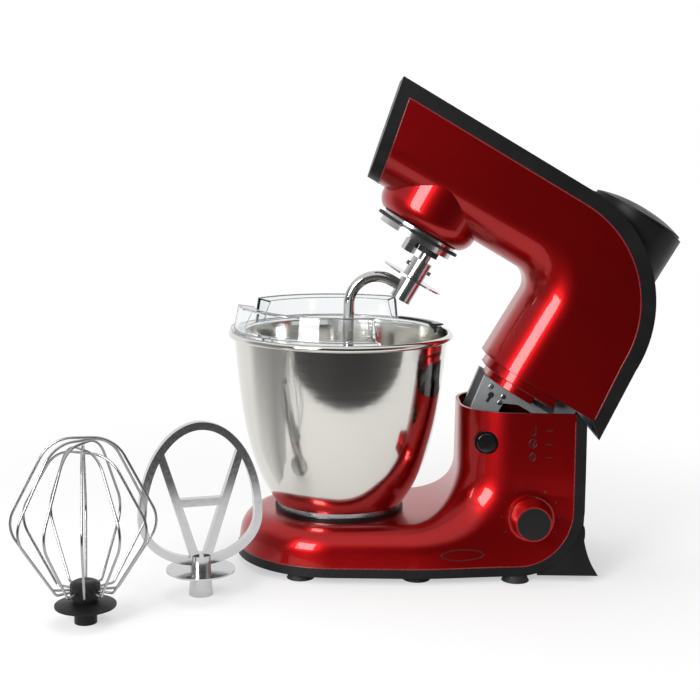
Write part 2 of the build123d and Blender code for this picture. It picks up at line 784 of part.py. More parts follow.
with BuildPart() as neck_collar:
    collar_floor = NECK_FOOT
    for inset, height, back in COLLAR_STEPS:
        with BuildSketch(Plane.XY.offset(collar_floor)):
            add(neck_plan(inset, back))
        extrude(amount=-height)
        collar_floor -= height
    with BuildSketch(Plane.XY.offset(NECK_FOOT)):
        add(neck_plan(WALL + SEAT_FIT, COLLAR_STEPS[0][2]))
    extrude(amount=COLLAR_FLANGE)

# Hinge: a cradle in the column, a pin, and the head's cast arm with two cheeks on the pin
CHEEK_OUTSIDE = ARM_CHEEK_Y + ARM_CHEEK
ARM_FLOOR = NECK_FOOT + COLLAR_FLANGE
COLLAR_UNDER = NECK_FOOT - sum(height for inset, height, back in COLLAR_STEPS)
with BuildPart() as hinge_arm:
    with BuildSketch(Plane.XY.offset(ARM_FLOOR)):
        with BuildLine():
            Polyline(
                (ARM_FRONT, -CHEEK_OUTSIDE),
                (HINGE_X, -CHEEK_OUTSIDE),
                (HINGE_X, CHEEK_OUTSIDE),
                (ARM_FRONT, CHEEK_OUTSIDE),
                close=True,
            )
        make_face()
    extrude(amount=ARM_PLATE)
    for side in (-1, 1):
        with BuildSketch(Plane.XZ.offset(side * (ARM_CHEEK_Y + ARM_CHEEK / 2))):
            with Locations((HINGE_X, HINGE_Z)):
                Circle(HINGE_LUG)
            Polygon(
                (HINGE_X - 2 * HINGE_LUG, ARM_FLOOR + ARM_PLATE),
                (HINGE_X - HINGE_LUG, HINGE_Z),
                (HINGE_X, HINGE_Z),
                (HINGE_X, ARM_FLOOR + ARM_PLATE),
                align=None,
            )
            Polygon(
                (BLADE_FRONT, COLLAR_UNDER),
                (BLADE_FRONT + BLADE_RAKE, BLADE_FOOT),
                (BLADE_BACK, BLADE_FOOT),
                (BLADE_BACK, BLADE_STEP),
                (BLADE_BACK + HINGE_LUG, BLADE_NECK),
                (HINGE_X, BLADE_NECK),
                (HINGE_X, COLLAR_UNDER),
                align=None,
            )
            with Locations(*BLADE_HOLES):
                Circle(BLADE_HOLE, mode=Mode.SUBTRACT)
            with Locations(KEYHOLE):
                Circle(KEYHOLE_RADIUS, mode=Mode.SUBTRACT)
                Rectangle(
                    KEYHOLE_SLOT,
                    KEYHOLE_LENGTH,
                    align=(Align.CENTER, Align.MAX),
                    mode=Mode.SUBTRACT,
                )
            with Locations((HINGE_X, HINGE_Z)):
                Circle(PIN_RADIUS + RUNNING_FIT, mode=Mode.SUBTRACT)
        extrude(amount=ARM_CHEEK / 2, both=True)

CRADLE_INSIDE = CHEEK_OUTSIDE + CRADLE_GAP
with BuildPart() as hinge_cradle:
    for side in (-1, 1):
        with BuildSketch(Plane.XZ.offset(side * (CRADLE_INSIDE + CRADLE_CHEEK / 2))):
            with Locations((HINGE_X, HINGE_Z)):
                Circle(HINGE_LUG)
            Polygon(
                (HINGE_X - 2 * HINGE_LUG, CRADLE_FLOOR),
                (HINGE_X + HINGE_LUG, CRADLE_FLOOR),
                (HINGE_X + HINGE_LUG, HINGE_Z),
                (HINGE_X - HINGE_LUG, HINGE_Z),
                align=None,
            )
            with Locations((HINGE_X, HINGE_Z)):
                Circle(PIN_RADIUS, mode=Mode.SUBTRACT)
        extrude(amount=CRADLE_CHEEK / 2, both=True)
    with BuildSketch(Plane.XY.offset(CRADLE_FLOOR)):
        with Locations((HINGE_X - HINGE_LUG / 2, 0)):
            Rectangle(3 * HINGE_LUG, 2 * (CRADLE_INSIDE + CRADLE_CHEEK))
    extrude(amount=CRADLE_CHEEK)

with BuildPart() as hinge_pin:
    with BuildSketch(Plane.XZ):
        with Locations((HINGE_X, HINGE_Z)):
            Circle(PIN_RADIUS)
    extrude(amount=CRADLE_INSIDE + CRADLE_CHEEK, both=True)


def gear_outline(teeth, module, addendum, dedendum, slack):
    """Corner points of a straight-flanked gear; slack thins its teeth at the pitch circle."""
    pitch = teeth * module / 2
    flank = tan(radians(PRESSURE_ANGLE))
    half = pi * module / 4 - slack
    points = []
    for tooth in range(teeth):
        middle = 2 * pi * tooth / teeth
        for side, reach in ((-1, -dedendum), (-1, addendum), (1, addendum), (1, -dedendum)):
            radius = pitch + reach * module
            angle = middle + side * (half - reach * module * flank) / radius
            points.append((radius * cos(angle), radius * sin(angle)))
    return points


RING_FLOOR = BOSS_FOOT + RING_RECESS
with BuildPart() as ring_gear:
    with BuildSketch(Plane.XY.offset(RING_FLOOR)):
        Circle(RING_OUTSIDE)
        ring_teeth = gear_outline(RING_TEETH, PLANET_MODULE, DEDENDUM, ADDENDUM, -BACKLASH / 4)
        Polygon(*ring_teeth, mode=Mode.SUBTRACT, align=None)
    extrude(amount=RING_FACE)

with BuildPart() as planet_gear:
    with BuildSketch(Plane.XY.offset(RING_FLOOR)):
        with Locations((PLANET_OFFSET, 0)):
            Polygon(*gear_outline(PLANET_TEETH, PLANET_MODULE, ADDENDUM, DEDENDUM, BACKLASH / 4), align=None)
            Circle(TOOL_SHAFT, mode=Mode.SUBTRACT)
    extrude(amount=RING_FACE)

# Chrome drip ring under the boss, and the turning drum that carries the planet
with BuildPart() as drip_ring:
    with BuildSketch(Plane.XZ):
        Polygon(
            (DRUM_RADIUS - WALL, BOSS_FOOT - DRUM_HEIGHT),
            (FLANGE_RADIUS, BOSS_FOOT - DRUM_HEIGHT),
            (FLANGE_RADIUS, BOSS_FOOT - DRUM_HEIGHT + FLANGE_THICK),
            (DRUM_RADIUS, BOSS_FOOT - DRUM_HEIGHT + FLANGE_THICK),
            (DRUM_RADIUS, BOSS_FOOT),
            (RING_OUTSIDE, BOSS_FOOT),
            (RING_OUTSIDE, RING_FLOOR),
            (DRUM_RADIUS - WALL, RING_FLOOR),
            align=None,
        )
    revolve(axis=Axis.Z)

DRUM_FLOOR = BOSS_FOOT - 2 * DRUM_HEIGHT - PANEL_GAP
HUB_TOP = GEAR_FLOOR + GEAR_FACE + PLATE_THICK
with BuildPart() as planet_drum:
    with BuildSketch(Plane.XZ):
        Polygon(
            (HUB_SHAFT, DRUM_FLOOR),
            (DRUM_RADIUS, DRUM_FLOOR),
            (DRUM_RADIUS, DRUM_FLOOR + DRUM_HEIGHT),
            (DRUM_RADIUS - WALL - PANEL_GAP, DRUM_FLOOR + DRUM_HEIGHT),
            (DRUM_RADIUS - WALL - PANEL_GAP, BOSS_FOOT),
            (HUB_SHAFT, BOSS_FOOT),
            align=None,
        )
    revolve(axis=Axis.Z)
    with Locations((PLANET_OFFSET, 0, DRUM_FLOOR)):
        Cylinder(TOOL_SHAFT + RUNNING_FIT, 3 * DRUM_HEIGHT, align=UPWARD, mode=Mode.SUBTRACT)

with BuildPart() as hub_shaft:
    with Locations((0, 0, DRUM_FLOOR)):
        Cylinder(HUB_SHAFT, HUB_TOP - DRUM_FLOOR, align=UPWARD)

with BuildPart() as hub_nut:
    with BuildSketch(Plane.XY.offset(DRUM_FLOOR)):
        RegularPolygon(NUT_ACROSS / 2, 6, major_radius=False)
    extrude(amount=-NUT_HEIGHT)
    chamfer(hub_nut.faces().sort_by(Axis.Z)[0].edges(), NUT_ACROSS / 12)

with BuildPart() as hub_gear:
    with BuildSketch(Plane.XY.offset(GEAR_FLOOR)):
        Polygon(*gear_outline(HUB_TEETH, GEAR_MODULE, ADDENDUM, DEDENDUM, BACKLASH / 4), align=None)
        Circle(HUB_SHAFT, mode=Mode.SUBTRACT)
    extrude(amount=GEAR_FACE)

# Gearbox plates and the shafts between them
PLATE_FLOOR = GEAR_FLOOR - PLATE_THICK - PLATE_GAP_UNDER
PLATE_TOP = GEAR_FLOOR + GEAR_FACE + PLATE_GAP_OVER


def gear_plate(floor):
    """Plate across the gear train with bores for the hub shaft and the countershaft."""
    with BuildPart() as plate:
        with BuildSketch(Plane.XY.offset(floor)):
            with BuildLine():
                Polyline(
                    (-PLATE_HALF, -PLATE_HALF),
                    (COUNTER_X + PLATE_HALF, -PLATE_HALF),
                    (COUNTER_X + PLATE_HALF, PLATE_HALF),
                    (-PLATE_HALF, PLATE_HALF),
                    close=True,
                )
            make_face()
            with Locations((0, 0)):
                Circle(HUB_SHAFT + RUNNING_FIT, mode=Mode.SUBTRACT)
            with Locations((COUNTER_X, 0)):
                Circle(COUNTER_SHAFT + RUNNING_FIT, mode=Mode.SUBTRACT)
        extrude(amount=PLATE_THICK)
    return plate.part


with BuildPart() as gearbox_frame:
    for floor in (PLATE_FLOOR, PLATE_TOP):
        add(gear_plate(floor))
    with BuildSketch(Plane.XY.offset(PLATE_FLOOR)):
        Circle(RING_OUTSIDE)
        Circle(RING_OUTSIDE - BELL_WALL, mode=Mode.SUBTRACT)
    extrude(amount=RING_FLOOR + RING_FACE - PLATE_FLOOR)
    with BuildSketch(Plane.XY.offset(PLATE_FLOOR)):
        with Locations(*PLATE_POSTS):
            Circle(POST_RADIUS)
    extrude(amount=PLATE_TOP - PLATE_FLOOR)

with BuildPart() as counter_shaft:
    with Locations((COUNTER_X, 0, PLATE_FLOOR)):
        Cylinder(COUNTER_SHAFT, BELT_FLOOR + BELT_WIDTH - PLATE_FLOOR, align=UPWARD)

with BuildPart() as pinion:
    with BuildSketch(Plane.XY.offset(GEAR_FLOOR)):
        with Locations(Location((COUNTER_X, 0), 180 / PINION_TEETH)):
            Polygon(*gear_outline(PINION_TEETH, GEAR_MODULE, ADDENDUM, DEDENDUM, BACKLASH / 4), align=None)
            Circle(COUNTER_SHAFT, mode=Mode.SUBTRACT)
    extrude(amount=GEAR_FACE)


def belt_wheel(x, radius, bore):
    """Flanged belt wheel at the belt's level."""
    with BuildPart() as wheel:
        with BuildSketch(upright(x, 0)):
            Polygon(
                (bore, BELT_FLOOR - WHEEL_RIM),
                (radius + WHEEL_FLANGE, BELT_FLOOR - WHEEL_RIM),
                (radius + WHEEL_FLANGE, BELT_FLOOR - PANEL_GAP),
                (radius, BELT_FLOOR - PANEL_GAP),
                (radius, BELT_FLOOR + BELT_WIDTH + PANEL_GAP),
                (bore, BELT_FLOOR + BELT_WIDTH + PANEL_GAP),
                align=None,
            )
        revolve(axis=Axis((x, 0, 0), (0, 0, 1)))
    return wheel.part


with BuildPart() as counter_wheel:
    add(belt_wheel(COUNTER_X, BELT_WHEEL, COUNTER_SHAFT))

with BuildPart() as motor_wheel:
    add(belt_wheel(PORT_X, MOTOR_WHEEL, MOTOR_SHAFT))

with BuildPart() as drive_belt:
    for grow, mode in ((PANEL_GAP + BELT_THICK, Mode.ADD), (PANEL_GAP, Mode.SUBTRACT)):
        with BuildSketch(Plane.XY.offset(BELT_FLOOR)) as loop:
            with Locations((COUNTER_X, 0)):
                Circle(BELT_WHEEL + grow)
            with Locations((PORT_X, 0)):
                Circle(MOTOR_WHEEL + grow)
            make_hull()
        extrude(amount=BELT_WIDTH, mode=mode)

# Motor: upright in the neck, its shaft carrying fan, armature, belt wheel and the port's coupling
STATOR_TOP = STATOR_FLOOR + STATOR_HEIGHT
with BuildPart() as motor_shaft:
    with Locations((PORT_X, 0, MOTOR_FLOOR)):
        Cylinder(MOTOR_SHAFT, HEAD_TOP - COUPLING_DROP - MOTOR_FLOOR, align=UPWARD)

with BuildPart() as motor_armature:
    with BuildSketch(Plane.XY.offset(STATOR_FLOOR)):
        with Locations((PORT_X, 0)):
            Circle(ARMATURE_RADIUS)
            with PolarLocations(ARMATURE_RADIUS, ARMATURE_SLOTS):
                Rectangle(ARMATURE_RADIUS / 2, SLOT_WIDTH, mode=Mode.SUBTRACT)
            Circle(MOTOR_SHAFT, mode=Mode.SUBTRACT)
    extrude(amount=STATOR_HEIGHT)

with BuildPart() as commutator:
    with BuildSketch(Plane.XY.offset(STATOR_TOP)):
        with Locations((PORT_X, 0)):
            Circle(COMMUTATOR_RADIUS)
            Circle(MOTOR_SHAFT, mode=Mode.SUBTRACT)
    extrude(amount=COMMUTATOR_HEIGHT)

with BuildPart() as motor_fan:
    with Locations((PORT_X, 0, FAN_FLOOR)):
        Cylinder(FAN_RADIUS, FAN_SHEET, align=UPWARD)
    with BuildSketch(Plane.XY.offset(FAN_FLOOR)):
        with Locations((PORT_X, 0)):
            with PolarLocations(FAN_BLADE_REACH, FAN_BLADES):
                Rectangle(FAN_BLADE, FAN_SHEET)
            Circle(FAN_HUB)
    extrude(amount=FAN_HEIGHT)
    with Locations((PORT_X, 0, FAN_FLOOR)):
        Cylinder(MOTOR_SHAFT, FAN_HEIGHT, align=UPWARD, mode=Mode.SUBTRACT)

with BuildPart() as motor_stator:
    with BuildSketch(Plane.XY.offset(STATOR_FLOOR)) as stator_plan:
        with Locations((PORT_X, 0)):
            RectangleRounded(2 * STATOR_HALF, 2 * STATOR_HALF, STATOR_HALF / 3)
            Circle(ARMATURE_RADIUS + AIR_GAP, mode=Mode.SUBTRACT)
            with Locations((0, -COIL_SPREAD), (0, COIL_SPREAD)):
                SlotOverall(COIL_LENGTH, COIL_WIDTH, mode=Mode.SUBTRACT)
    extrude(amount=STATOR_HEIGHT)

with BuildPart() as field_coils:
    with BuildSketch(Plane.XY.offset(STATOR_FLOOR - COIL_OVERHANG)):
        with Locations((PORT_X, -COIL_SPREAD), (PORT_X, COIL_SPREAD)):
            SlotOverall(COIL_LENGTH - 2 * PANEL_GAP, COIL_WIDTH - 2 * PANEL_GAP)
    extrude(amount=STATOR_HEIGHT + 2 * COIL_OVERHANG)


def motor_bracket(floor):
    """Cross bar over the stator with a bore for the motor's shaft."""
    with BuildPart() as bracket:
        with BuildSketch(Plane.XY.offset(floor)):
            with Locations((PORT_X, 0)):
                SlotOverall(2 * LEG_SPREAD + LEG_WIDTH, BRACKET_WIDTH)
                Circle(MOTOR_SHAFT + RUNNING_FIT, mode=Mode.SUBTRACT)
        extrude(amount=PLATE_THICK)
    return bracket.part


LOWER_BRACKET = STATOR_FLOOR - PLATE_THICK
UPPER_BRACKET = STATOR_TOP + COMMUTATOR_HEIGHT + BRACKET_GAP
with BuildPart() as motor_brackets:
    for floor in (LOWER_BRACKET, UPPER_BRACKET):
        add(motor_bracket(floor))
    with BuildSketch(Plane.XY.offset(ARM_FLOOR + ARM_PLATE)):
        with Locations((PORT_X - LEG_SPREAD, 0), (PORT_X + LEG_SPREAD, 0)):
            Rectangle(LEG_WIDTH, BRACKET_WIDTH)
    extrude(amount=LOWER_BRACKET - ARM_FLOOR - ARM_PLATE)
    with BuildSketch(Plane.XY.offset(STATOR_TOP)):
        with Locations((PORT_X - STATOR_HALF + LEG_WIDTH, 0), (PORT_X + STATOR_HALF - LEG_WIDTH, 0)):
            Rectangle(LEG_WIDTH, BRACKET_WIDTH)
    extrude(amount=UPPER_BRACKET - STATOR_TOP)

with BuildPart() as carbon_brushes:
    for side in (-1, 1):
        with Locations((PORT_X + side * (COMMUTATOR_RADIUS + PANEL_GAP + BRUSH_LENGTH / 2), 0, STATOR_TOP)):
            Box(BRUSH_LENGTH, BRUSH_WIDTH, BRUSH_WIDTH, align=UPWARD)

with BuildPart() as port_coupling:
    with BuildSketch(Plane.XY.offset(HEAD_TOP - COUPLING_DROP - COUPLING_GRIP)):
        with Locations((PORT_X, 0)):
            RegularPolygon(COUPLING_RADIUS, 6)
            Circle(MOTOR_SHAFT, mode=Mode.SUBTRACT)
    extrude(amount=COUPLING_GRIP)

# Tool shaft with its seal and cross pin, and the dough hook pushed on it
with BuildPart() as tool_shaft:
    with Locations((PLANET_OFFSET, 0, TOOL_SHAFT_FOOT)):
        Cylinder(TOOL_SHAFT, RING_FLOOR + RING_FACE - TOOL_SHAFT_FOOT, align=UPWARD)
    with BuildSketch(Plane.YZ):
        with Locations((0, CROSS_PIN_HEIGHT)):
            Circle(CROSS_PIN)
    extrude(amount=2 * PLANET_OFFSET, mode=Mode.SUBTRACT)

with BuildPart() as cross_pin:
    with BuildSketch(Plane.YZ.offset(PLANET_OFFSET)):
        with Locations((0, CROSS_PIN_HEIGHT)):
            Circle(CROSS_PIN)
    extrude(amount=CROSS_PIN_HALF, both=True)

with BuildPart() as shaft_seal:
    with BuildSketch(Plane.XY.offset(DRUM_FLOOR - PANEL_GAP)):
        with Locations((PLANET_OFFSET, 0)):
            Circle(SEAL_RADIUS)
            Circle(TOOL_SHAFT, mode=Mode.SUBTRACT)
    extrude(amount=-SEAL_HEIGHT)

with BuildPart() as hook_sleeve:
    with Locations((PLANET_OFFSET, 0, SLEEVE_FOOT)):
        Cylinder(SLEEVE_RADIUS, SLEEVE_TOP - SLEEVE_FOOT, align=UPWARD)
    with Locations((PLANET_OFFSET, 0, TOOL_SHAFT_FOOT)):
        Cylinder(TOOL_BORE, SLEEVE_TOP - TOOL_SHAFT_FOOT, align=UPWARD, mode=Mode.SUBTRACT)
    with Locations((PLANET_OFFSET, 0, CROSS_PIN_HEIGHT - CROSS_PIN - PANEL_GAP)):
        Box(3 * SLEEVE_RADIUS, 2 * (CROSS_PIN + PANEL_GAP), SLEEVE_TOP, align=UPWARD, mode=Mode.SUBTRACT)

with BuildPart() as hook_disc:
    with BuildSketch(upright(PLANET_OFFSET, 0)):
        Polygon(
            (SLEEVE_RADIUS, DISC_HEIGHT + DISC_THICK),
            (SLEEVE_RADIUS, DISC_HEIGHT - DISC_THICK),
            (DISC_RADIUS, DISC_HEIGHT - DISC_THICK / 2),
            (DISC_RADIUS, DISC_HEIGHT + DISC_THICK / 2),
            align=None,
        )
    revolve(axis=Axis((PLANET_OFFSET, 0, 0), (0, 0, 1)))

with BuildPart() as dough_hook:
    with BuildLine(Plane.XZ) as hook_path:
        lead = Line((PLANET_OFFSET, HOOK_EXIT), (PLANET_OFFSET - HOOK_SHOULDER, HOOK_EXIT))
        crook = JernArc(lead @ 1, (-1, 0), HOOK_BEND, HOOK_TURN)
        shank = Line(crook @ 1, crook @ 1 + (crook % 1) * HOOK_SHANK)
        JernArc(shank @ 1, shank % 1, HOOK_TOE_BEND, -HOOK_TOE_TURN)
    with BuildSketch(Plane.YZ.offset(PLANET_OFFSET)):
        with Locations((0, HOOK_EXIT)):
            Circle(HOOK_ROD)
    sweep()
    with Locations((PLANET_OFFSET, 0, SLEEVE_FOOT)):
        Cylinder(SLEEVE_RADIUS, SLEEVE_TOP - SLEEVE_FOOT, align=UPWARD, mode=Mode.SUBTRACT)

# Controls on the near side: the tilt release and the speed dial
with BuildPart() as button_bezel:
    with BuildSketch(Plane.XZ.offset(BEZEL_FACE)):
        with Locations((BUTTON_X, BUTTON_Z)):
            Circle(BUTTON_RADIUS + PANEL_GAP + BEZEL_WIDTH)
            Circle(BUTTON_RADIUS + PANEL_GAP, mode=Mode.SUBTRACT)
    extrude(amount=-BEZEL_LENGTH)

with BuildPart() as release_button:
    with BuildSketch(Plane.XZ.offset(BUTTON_FACE)):
        with Locations((BUTTON_X, BUTTON_Z)):
            Circle(BUTTON_RADIUS)
    extrude(amount=-BUTTON_LENGTH)
    fillet(release_button.faces().sort_by(Axis.Y)[0].edges(), BUTTON_ROUND)

with BuildPart() as latch_slider:
    with BuildSketch(Plane.XZ.offset(BUTTON_FACE - BUTTON_LENGTH)):
        with Locations((BUTTON_X, BUTTON_Z)):
            Circle(LATCH_STEM)
    extrude(amount=-LATCH_STEM_LENGTH)
    with BuildSketch(Plane.XZ.offset(BUTTON_FACE - BUTTON_LENGTH - LATCH_STEM_LENGTH)):
        with Locations((BUTTON_X + LATCH_REACH / 2, BUTTON_Z)):
            SlotOverall(LATCH_REACH + 2 * LATCH_STEM, 2 * LATCH_STEM)
    extrude(amount=-LATCH_THICK)

DIAL_AXIS = Axis((DIAL_X, 0, DIAL_Z), (0, 1, 0))
with BuildPart() as dial_bezel:
    with BuildSketch(Plane.XZ.offset(DIAL_SEAT - PANEL_GAP)):
        with Locations((DIAL_X, DIAL_Z)):
            Circle(DIAL_FOOT + BEZEL_WIDTH)
            Circle(DIAL_SHAFT + DIAL_SHAFT_GAP, mode=Mode.SUBTRACT)
    extrude(amount=-DIAL_BEZEL_LENGTH)
    add(base_solid, mode=Mode.SUBTRACT)

with BuildPart() as speed_dial:
    with BuildSketch(Plane.XY.offset(DIAL_Z)):
        Polygon(
            (DIAL_X + DIAL_SHAFT, -DIAL_SEAT),
            (DIAL_X + DIAL_FOOT, -DIAL_SEAT),
            (DIAL_X + DIAL_RIM, -DIAL_SEAT - DIAL_HEIGHT),
            (DIAL_X + DIAL_FACE, -DIAL_SEAT - DIAL_HEIGHT),
            (DIAL_X + DIAL_FACE, -DIAL_SEAT - DIAL_HEIGHT + DIAL_INLAY),
            (DIAL_X + DIAL_SHAFT, -DIAL_SEAT - DIAL_HEIGHT + DIAL_INLAY),
            align=None,
        )
    revolve(axis=DIAL_AXIS)

with BuildPart() as dial_face:
    with BuildSketch(Plane.XZ.offset(DIAL_SEAT + DIAL_HEIGHT - DIAL_INLAY)):
        with Locations((DIAL_X, DIAL_Z)):
            Circle(DIAL_FACE - SEAT_FIT)
    extrude(amount=DIAL_INLAY)
    with BuildSketch(Plane.XZ.offset(DIAL_SEAT + DIAL_HEIGHT - DIAL_INLAY)):
        with Locations((DIAL_X, DIAL_Z)):
            Circle(DIAL_SHAFT - SEAT_FIT)
    extrude(amount=-DIAL_SHAFT_LENGTH)

SWITCH_FACE = DIAL_SEAT + DIAL_HEIGHT - DIAL_INLAY - DIAL_SHAFT_LENGTH
with BuildPart() as speed_switch:
    with BuildSketch(Plane.XZ.offset(SWITCH_FACE - PANEL_GAP)):
        with Locations((DIAL_X, DIAL_Z)):
            RectangleRounded(SWITCH_SIZE, SWITCH_SIZE, SWITCH_SIZE / 8)
    extrude(amount=-SWITCH_SIZE / 2)

with BuildPart() as control_board:
    with BuildSketch(Plane.XY.offset(TRAY_FLOOR + TRAY_PLATE)):
        with Locations((BOARD_X, 0)):
            with GridLocations(*BOARD_POSTS, 2, 2):
                Circle(POST_RADIUS)
    extrude(amount=BOARD_HEIGHT)
    with BuildSketch(Plane.XY.offset(TRAY_FLOOR + TRAY_PLATE + BOARD_HEIGHT)):
        with Locations((BOARD_X, 0)):
            Rectangle(BOARD_LENGTH, BOARD_WIDTH)
    extrude(amount=BOARD_THICK)

with BuildPart() as cord_gland:
    with BuildSketch(Plane.YZ.offset(TRIM_BACK)):
        with Locations((0, GLAND_HEIGHT)):
            Circle(GLAND_RADIUS)
            Circle(GLAND_BORE, mode=Mode.SUBTRACT)
    extrude(amount=FOOT_BLOCK_HEEL)
    add(rear_foot.part, mode=Mode.SUBTRACT)

with BuildPart() as tray_screws:
    with BuildSketch(Plane.XY.offset(TRAY_FLOOR)):
        with Locations(*TRAY_SCREWS):
            Circle(SCREW_HEAD)
            Rectangle(SCREW_SLOT_LENGTH, SCREW_SLOT, mode=Mode.SUBTRACT)
    extrude(amount=-SCREW_RISE)

# Whisk: a moulded hub with a clip bore, and loops of wire crossing at the crown
with BuildPart() as whisk_hub:
    with BuildSketch(upright(*WHISK_AT)):
        with BuildLine():
            skirt = Polyline(
                (TOOL_BORE, 0),
                (WHISK_SHANK, 0),
                (WHISK_SHANK, WHISK_SHANK_HEIGHT),
                (WHISK_DISC, WHISK_SHANK_HEIGHT + DISC_THICK),
                (WHISK_DISC, WHISK_SHANK_HEIGHT + 2 * DISC_THICK),
                (WHISK_NECK, WHISK_NECK_HEIGHT - DISC_THICK),
                (WHISK_NECK, WHISK_NECK_HEIGHT),
                (WHISK_CAP, WHISK_NECK_HEIGHT + DISC_THICK),
                (WHISK_CAP, WHISK_CAP_HEIGHT - 2 * DISC_THICK),
            )
            dome = ThreePointArc(
                skirt @ 1,
                (WHISK_CAP_ROUND, WHISK_CAP_HEIGHT - DISC_THICK / 2),
                (WHISK_CAP_FLAT, WHISK_CAP_HEIGHT),
            )
            Polyline(dome @ 1, (0, WHISK_CAP_HEIGHT), (0, BORE_DEPTH), (TOOL_BORE, BORE_DEPTH), skirt @ 0)
        make_face()
    revolve(axis=Axis((*WHISK_AT, 0), (0, 0, 1)))

with BuildPart() as whisk_wires:
    for loop in range(WIRE_LOOPS):
        turn = radians(WIRE_TURN + 180 / WIRE_LOOPS * loop)
        across = (cos(turn), sin(turn), 0)
        crown = WHISK_HEIGHT - WIRE_RADIUS - WIRE_STEP * loop
        plane = Plane((*WHISK_AT, 0), across, (across[1], -across[0], 0))
        corners = []
        for side in (-1, 1):
            half = [
                (WHISK_CAP + SEAT_FIT, WIRE_EXIT),
                (WIRE_ELBOW, WIRE_EXIT),
                (WIRE_WIDEST, WIRE_WIDEST_HEIGHT),
                (WIRE_CROWN, crown),
            ]
            half = [(side * reach, height) for reach, height in half]
            corners += half if side < 0 else half[::-1]
        with BuildLine(plane) as wire_path:
            FilletPolyline(*corners, radius=WIRE_BENDS + WIRE_BENDS[::-1])
        start = Plane(wire_path.line @ 0, z_dir=wire_path.line % 0)
        with BuildSketch(start):
            Circle(WIRE_RADIUS)
        sweep(path=wire_path.line)

# Flat beater: a cast oval frame with two splayed bars and a crossbar on a hub
BEATER_ACROSS = Vector(cos(radians(BEATER_TURN)), sin(radians(BEATER_TURN)), 0)
with BuildPart() as beater_hub:
    with BuildSketch(upright(*BEATER_AT)):
        Polygon(
            (TOOL_BORE, 0),
            (BEATER_SHANK, 0),
            (BEATER_HUB, BEATER_DISC_HEIGHT),
            (BEATER_DISC, BEATER_DISC_HEIGHT + DISC_THICK),
            (BEATER_DISC, BEATER_DISC_HEIGHT + 2 * DISC_THICK),
            (BEATER_HUB, BEATER_DISC_HEIGHT + 2 * DISC_THICK),
            (BEATER_HUB, BEATER_HUB_HEIGHT),
            (0, BEATER_HUB_HEIGHT),
            (0, BORE_DEPTH),
            (TOOL_BORE, BORE_DEPTH),
            align=None,
        )
    revolve(axis=Axis((*BEATER_AT, 0), (0, 0, 1)))

with BuildPart() as flat_beater:
    with BuildSketch(Plane((*BEATER_AT, 0), BEATER_ACROSS, BEATER_ACROSS.cross(Vector(0, 0, 1)))):
        for shrink, mode in ((0, Mode.ADD), (BEATER_BAR, Mode.SUBTRACT)):
            with BuildLine():
                half = BEATER_HALF - shrink
                rise = BEATER_HEIGHT - BEATER_WIDEST_HEIGHT - shrink
                drop = BEATER_WIDEST_HEIGHT - BEATER_FLOOR - shrink
                EllipticalCenterArc((0, BEATER_WIDEST_HEIGHT), half, rise, 0, arc_size=180)
                EllipticalCenterArc((0, BEATER_WIDEST_HEIGHT), half, drop, 180, arc_size=180)
            make_face(mode=mode)
        for side in (-1, 1):
            Polygon(
                (0, BEATER_FLOOR + BEATER_BAR / 2),
                (side * BEATER_FORK, BEATER_FLOOR + BEATER_BAR / 2),
                (side * (BEATER_SPLAY + BEATER_BAR), BEATER_SPLAY_HEIGHT),
                (side * BEATER_SPLAY, BEATER_SPLAY_HEIGHT),
                align=None,
            )
        with Locations((0, BEATER_CROSSBAR)):
            Rectangle(BEATER_CROSSBAR_LENGTH, BEATER_BAR)
    extrude(amount=BEATER_THICK / 2, both=True)
    with Locations((*BEATER_AT, 0)):
        Cylinder(BEATER_HUB, BEATER_HUB_HEIGHT, align=UPWARD, mode=Mode.SUBTRACT)

BASE_PIECES = {
    "base_shell": base_shell,
    "base_tray": base_tray,
    "suction_feet": suction_feet,
    "back_trim": back_trim,
    "rear_foot": rear_foot,
    "bowl_seat": bowl_seat,
    "bowl_foot": bowl_foot,
    "bowl_shell": bowl_shell,
    "splash_guard": splash_guard,
    "hinge_cradle": hinge_cradle,
    "hinge_pin": hinge_pin,
    "button_bezel": button_bezel,
    "release_button": release_button,
    "latch_slider": latch_slider,
    "dial_bezel": dial_bezel,
    "speed_dial": speed_dial,
    "dial_face": dial_face,
    "speed_switch": speed_switch,
    "control_board": control_board,
    "cord_gland": cord_gland,
    "tray_screws": tray_screws,
    "whisk_hub": whisk_hub,
    "whisk_wires": whisk_wires,
    "beater_hub": beater_hub,
    "flat_beater": flat_beater,
}
HEAD_PIECES = {
    "head_shell": head_shell,
    "hub_boss": hub_boss,
    "top_cover": top_cover,
    "front_cap": front_cap,
    "port_cover": port_cover,
    "neck_collar": neck_collar,
    "hinge_arm": hinge_arm,
    "drip_ring": drip_ring,
    "ring_gear": ring_gear,
    "gearbox_frame": gearbox_frame,
    "planet_drum": planet_drum,
    "hub_shaft": hub_shaft,
    "hub_nut": hub_nut,
    "hub_gear": hub_gear,
    "planet_gear": planet_gear,
    "tool_shaft": tool_shaft,
    "cross_pin": cross_pin,
    "shaft_seal": shaft_seal,
    "hook_sleeve": hook_sleeve,
    "hook_disc": hook_disc,
    "dough_hook": dough_hook,
    "counter_shaft": counter_shaft,
    "pinion": pinion,
    "counter_wheel": counter_wheel,
    "drive_belt": drive_belt,
    "motor_wheel": motor_wheel,
    "motor_shaft": motor_shaft,
    "motor_armature": motor_armature,
    "commutator": commutator,
    "motor_fan": motor_fan,
    "motor_stator": motor_stator,
    "field_coils": field_coils,
    "motor_brackets": motor_brackets,
    "carbon_brushes": carbon_brushes,
    "port_coupling": port_coupling,
}

for piece in HEAD_PIECES.values():
    piece.part = piece.part.rotate(HINGE_AXIS, HEAD_RAISED)

for name, piece in (BASE_PIECES | HEAD_PIECES).items():
    piece.part.label = name
    export_step(piece.part, f"parts/{name}.step")
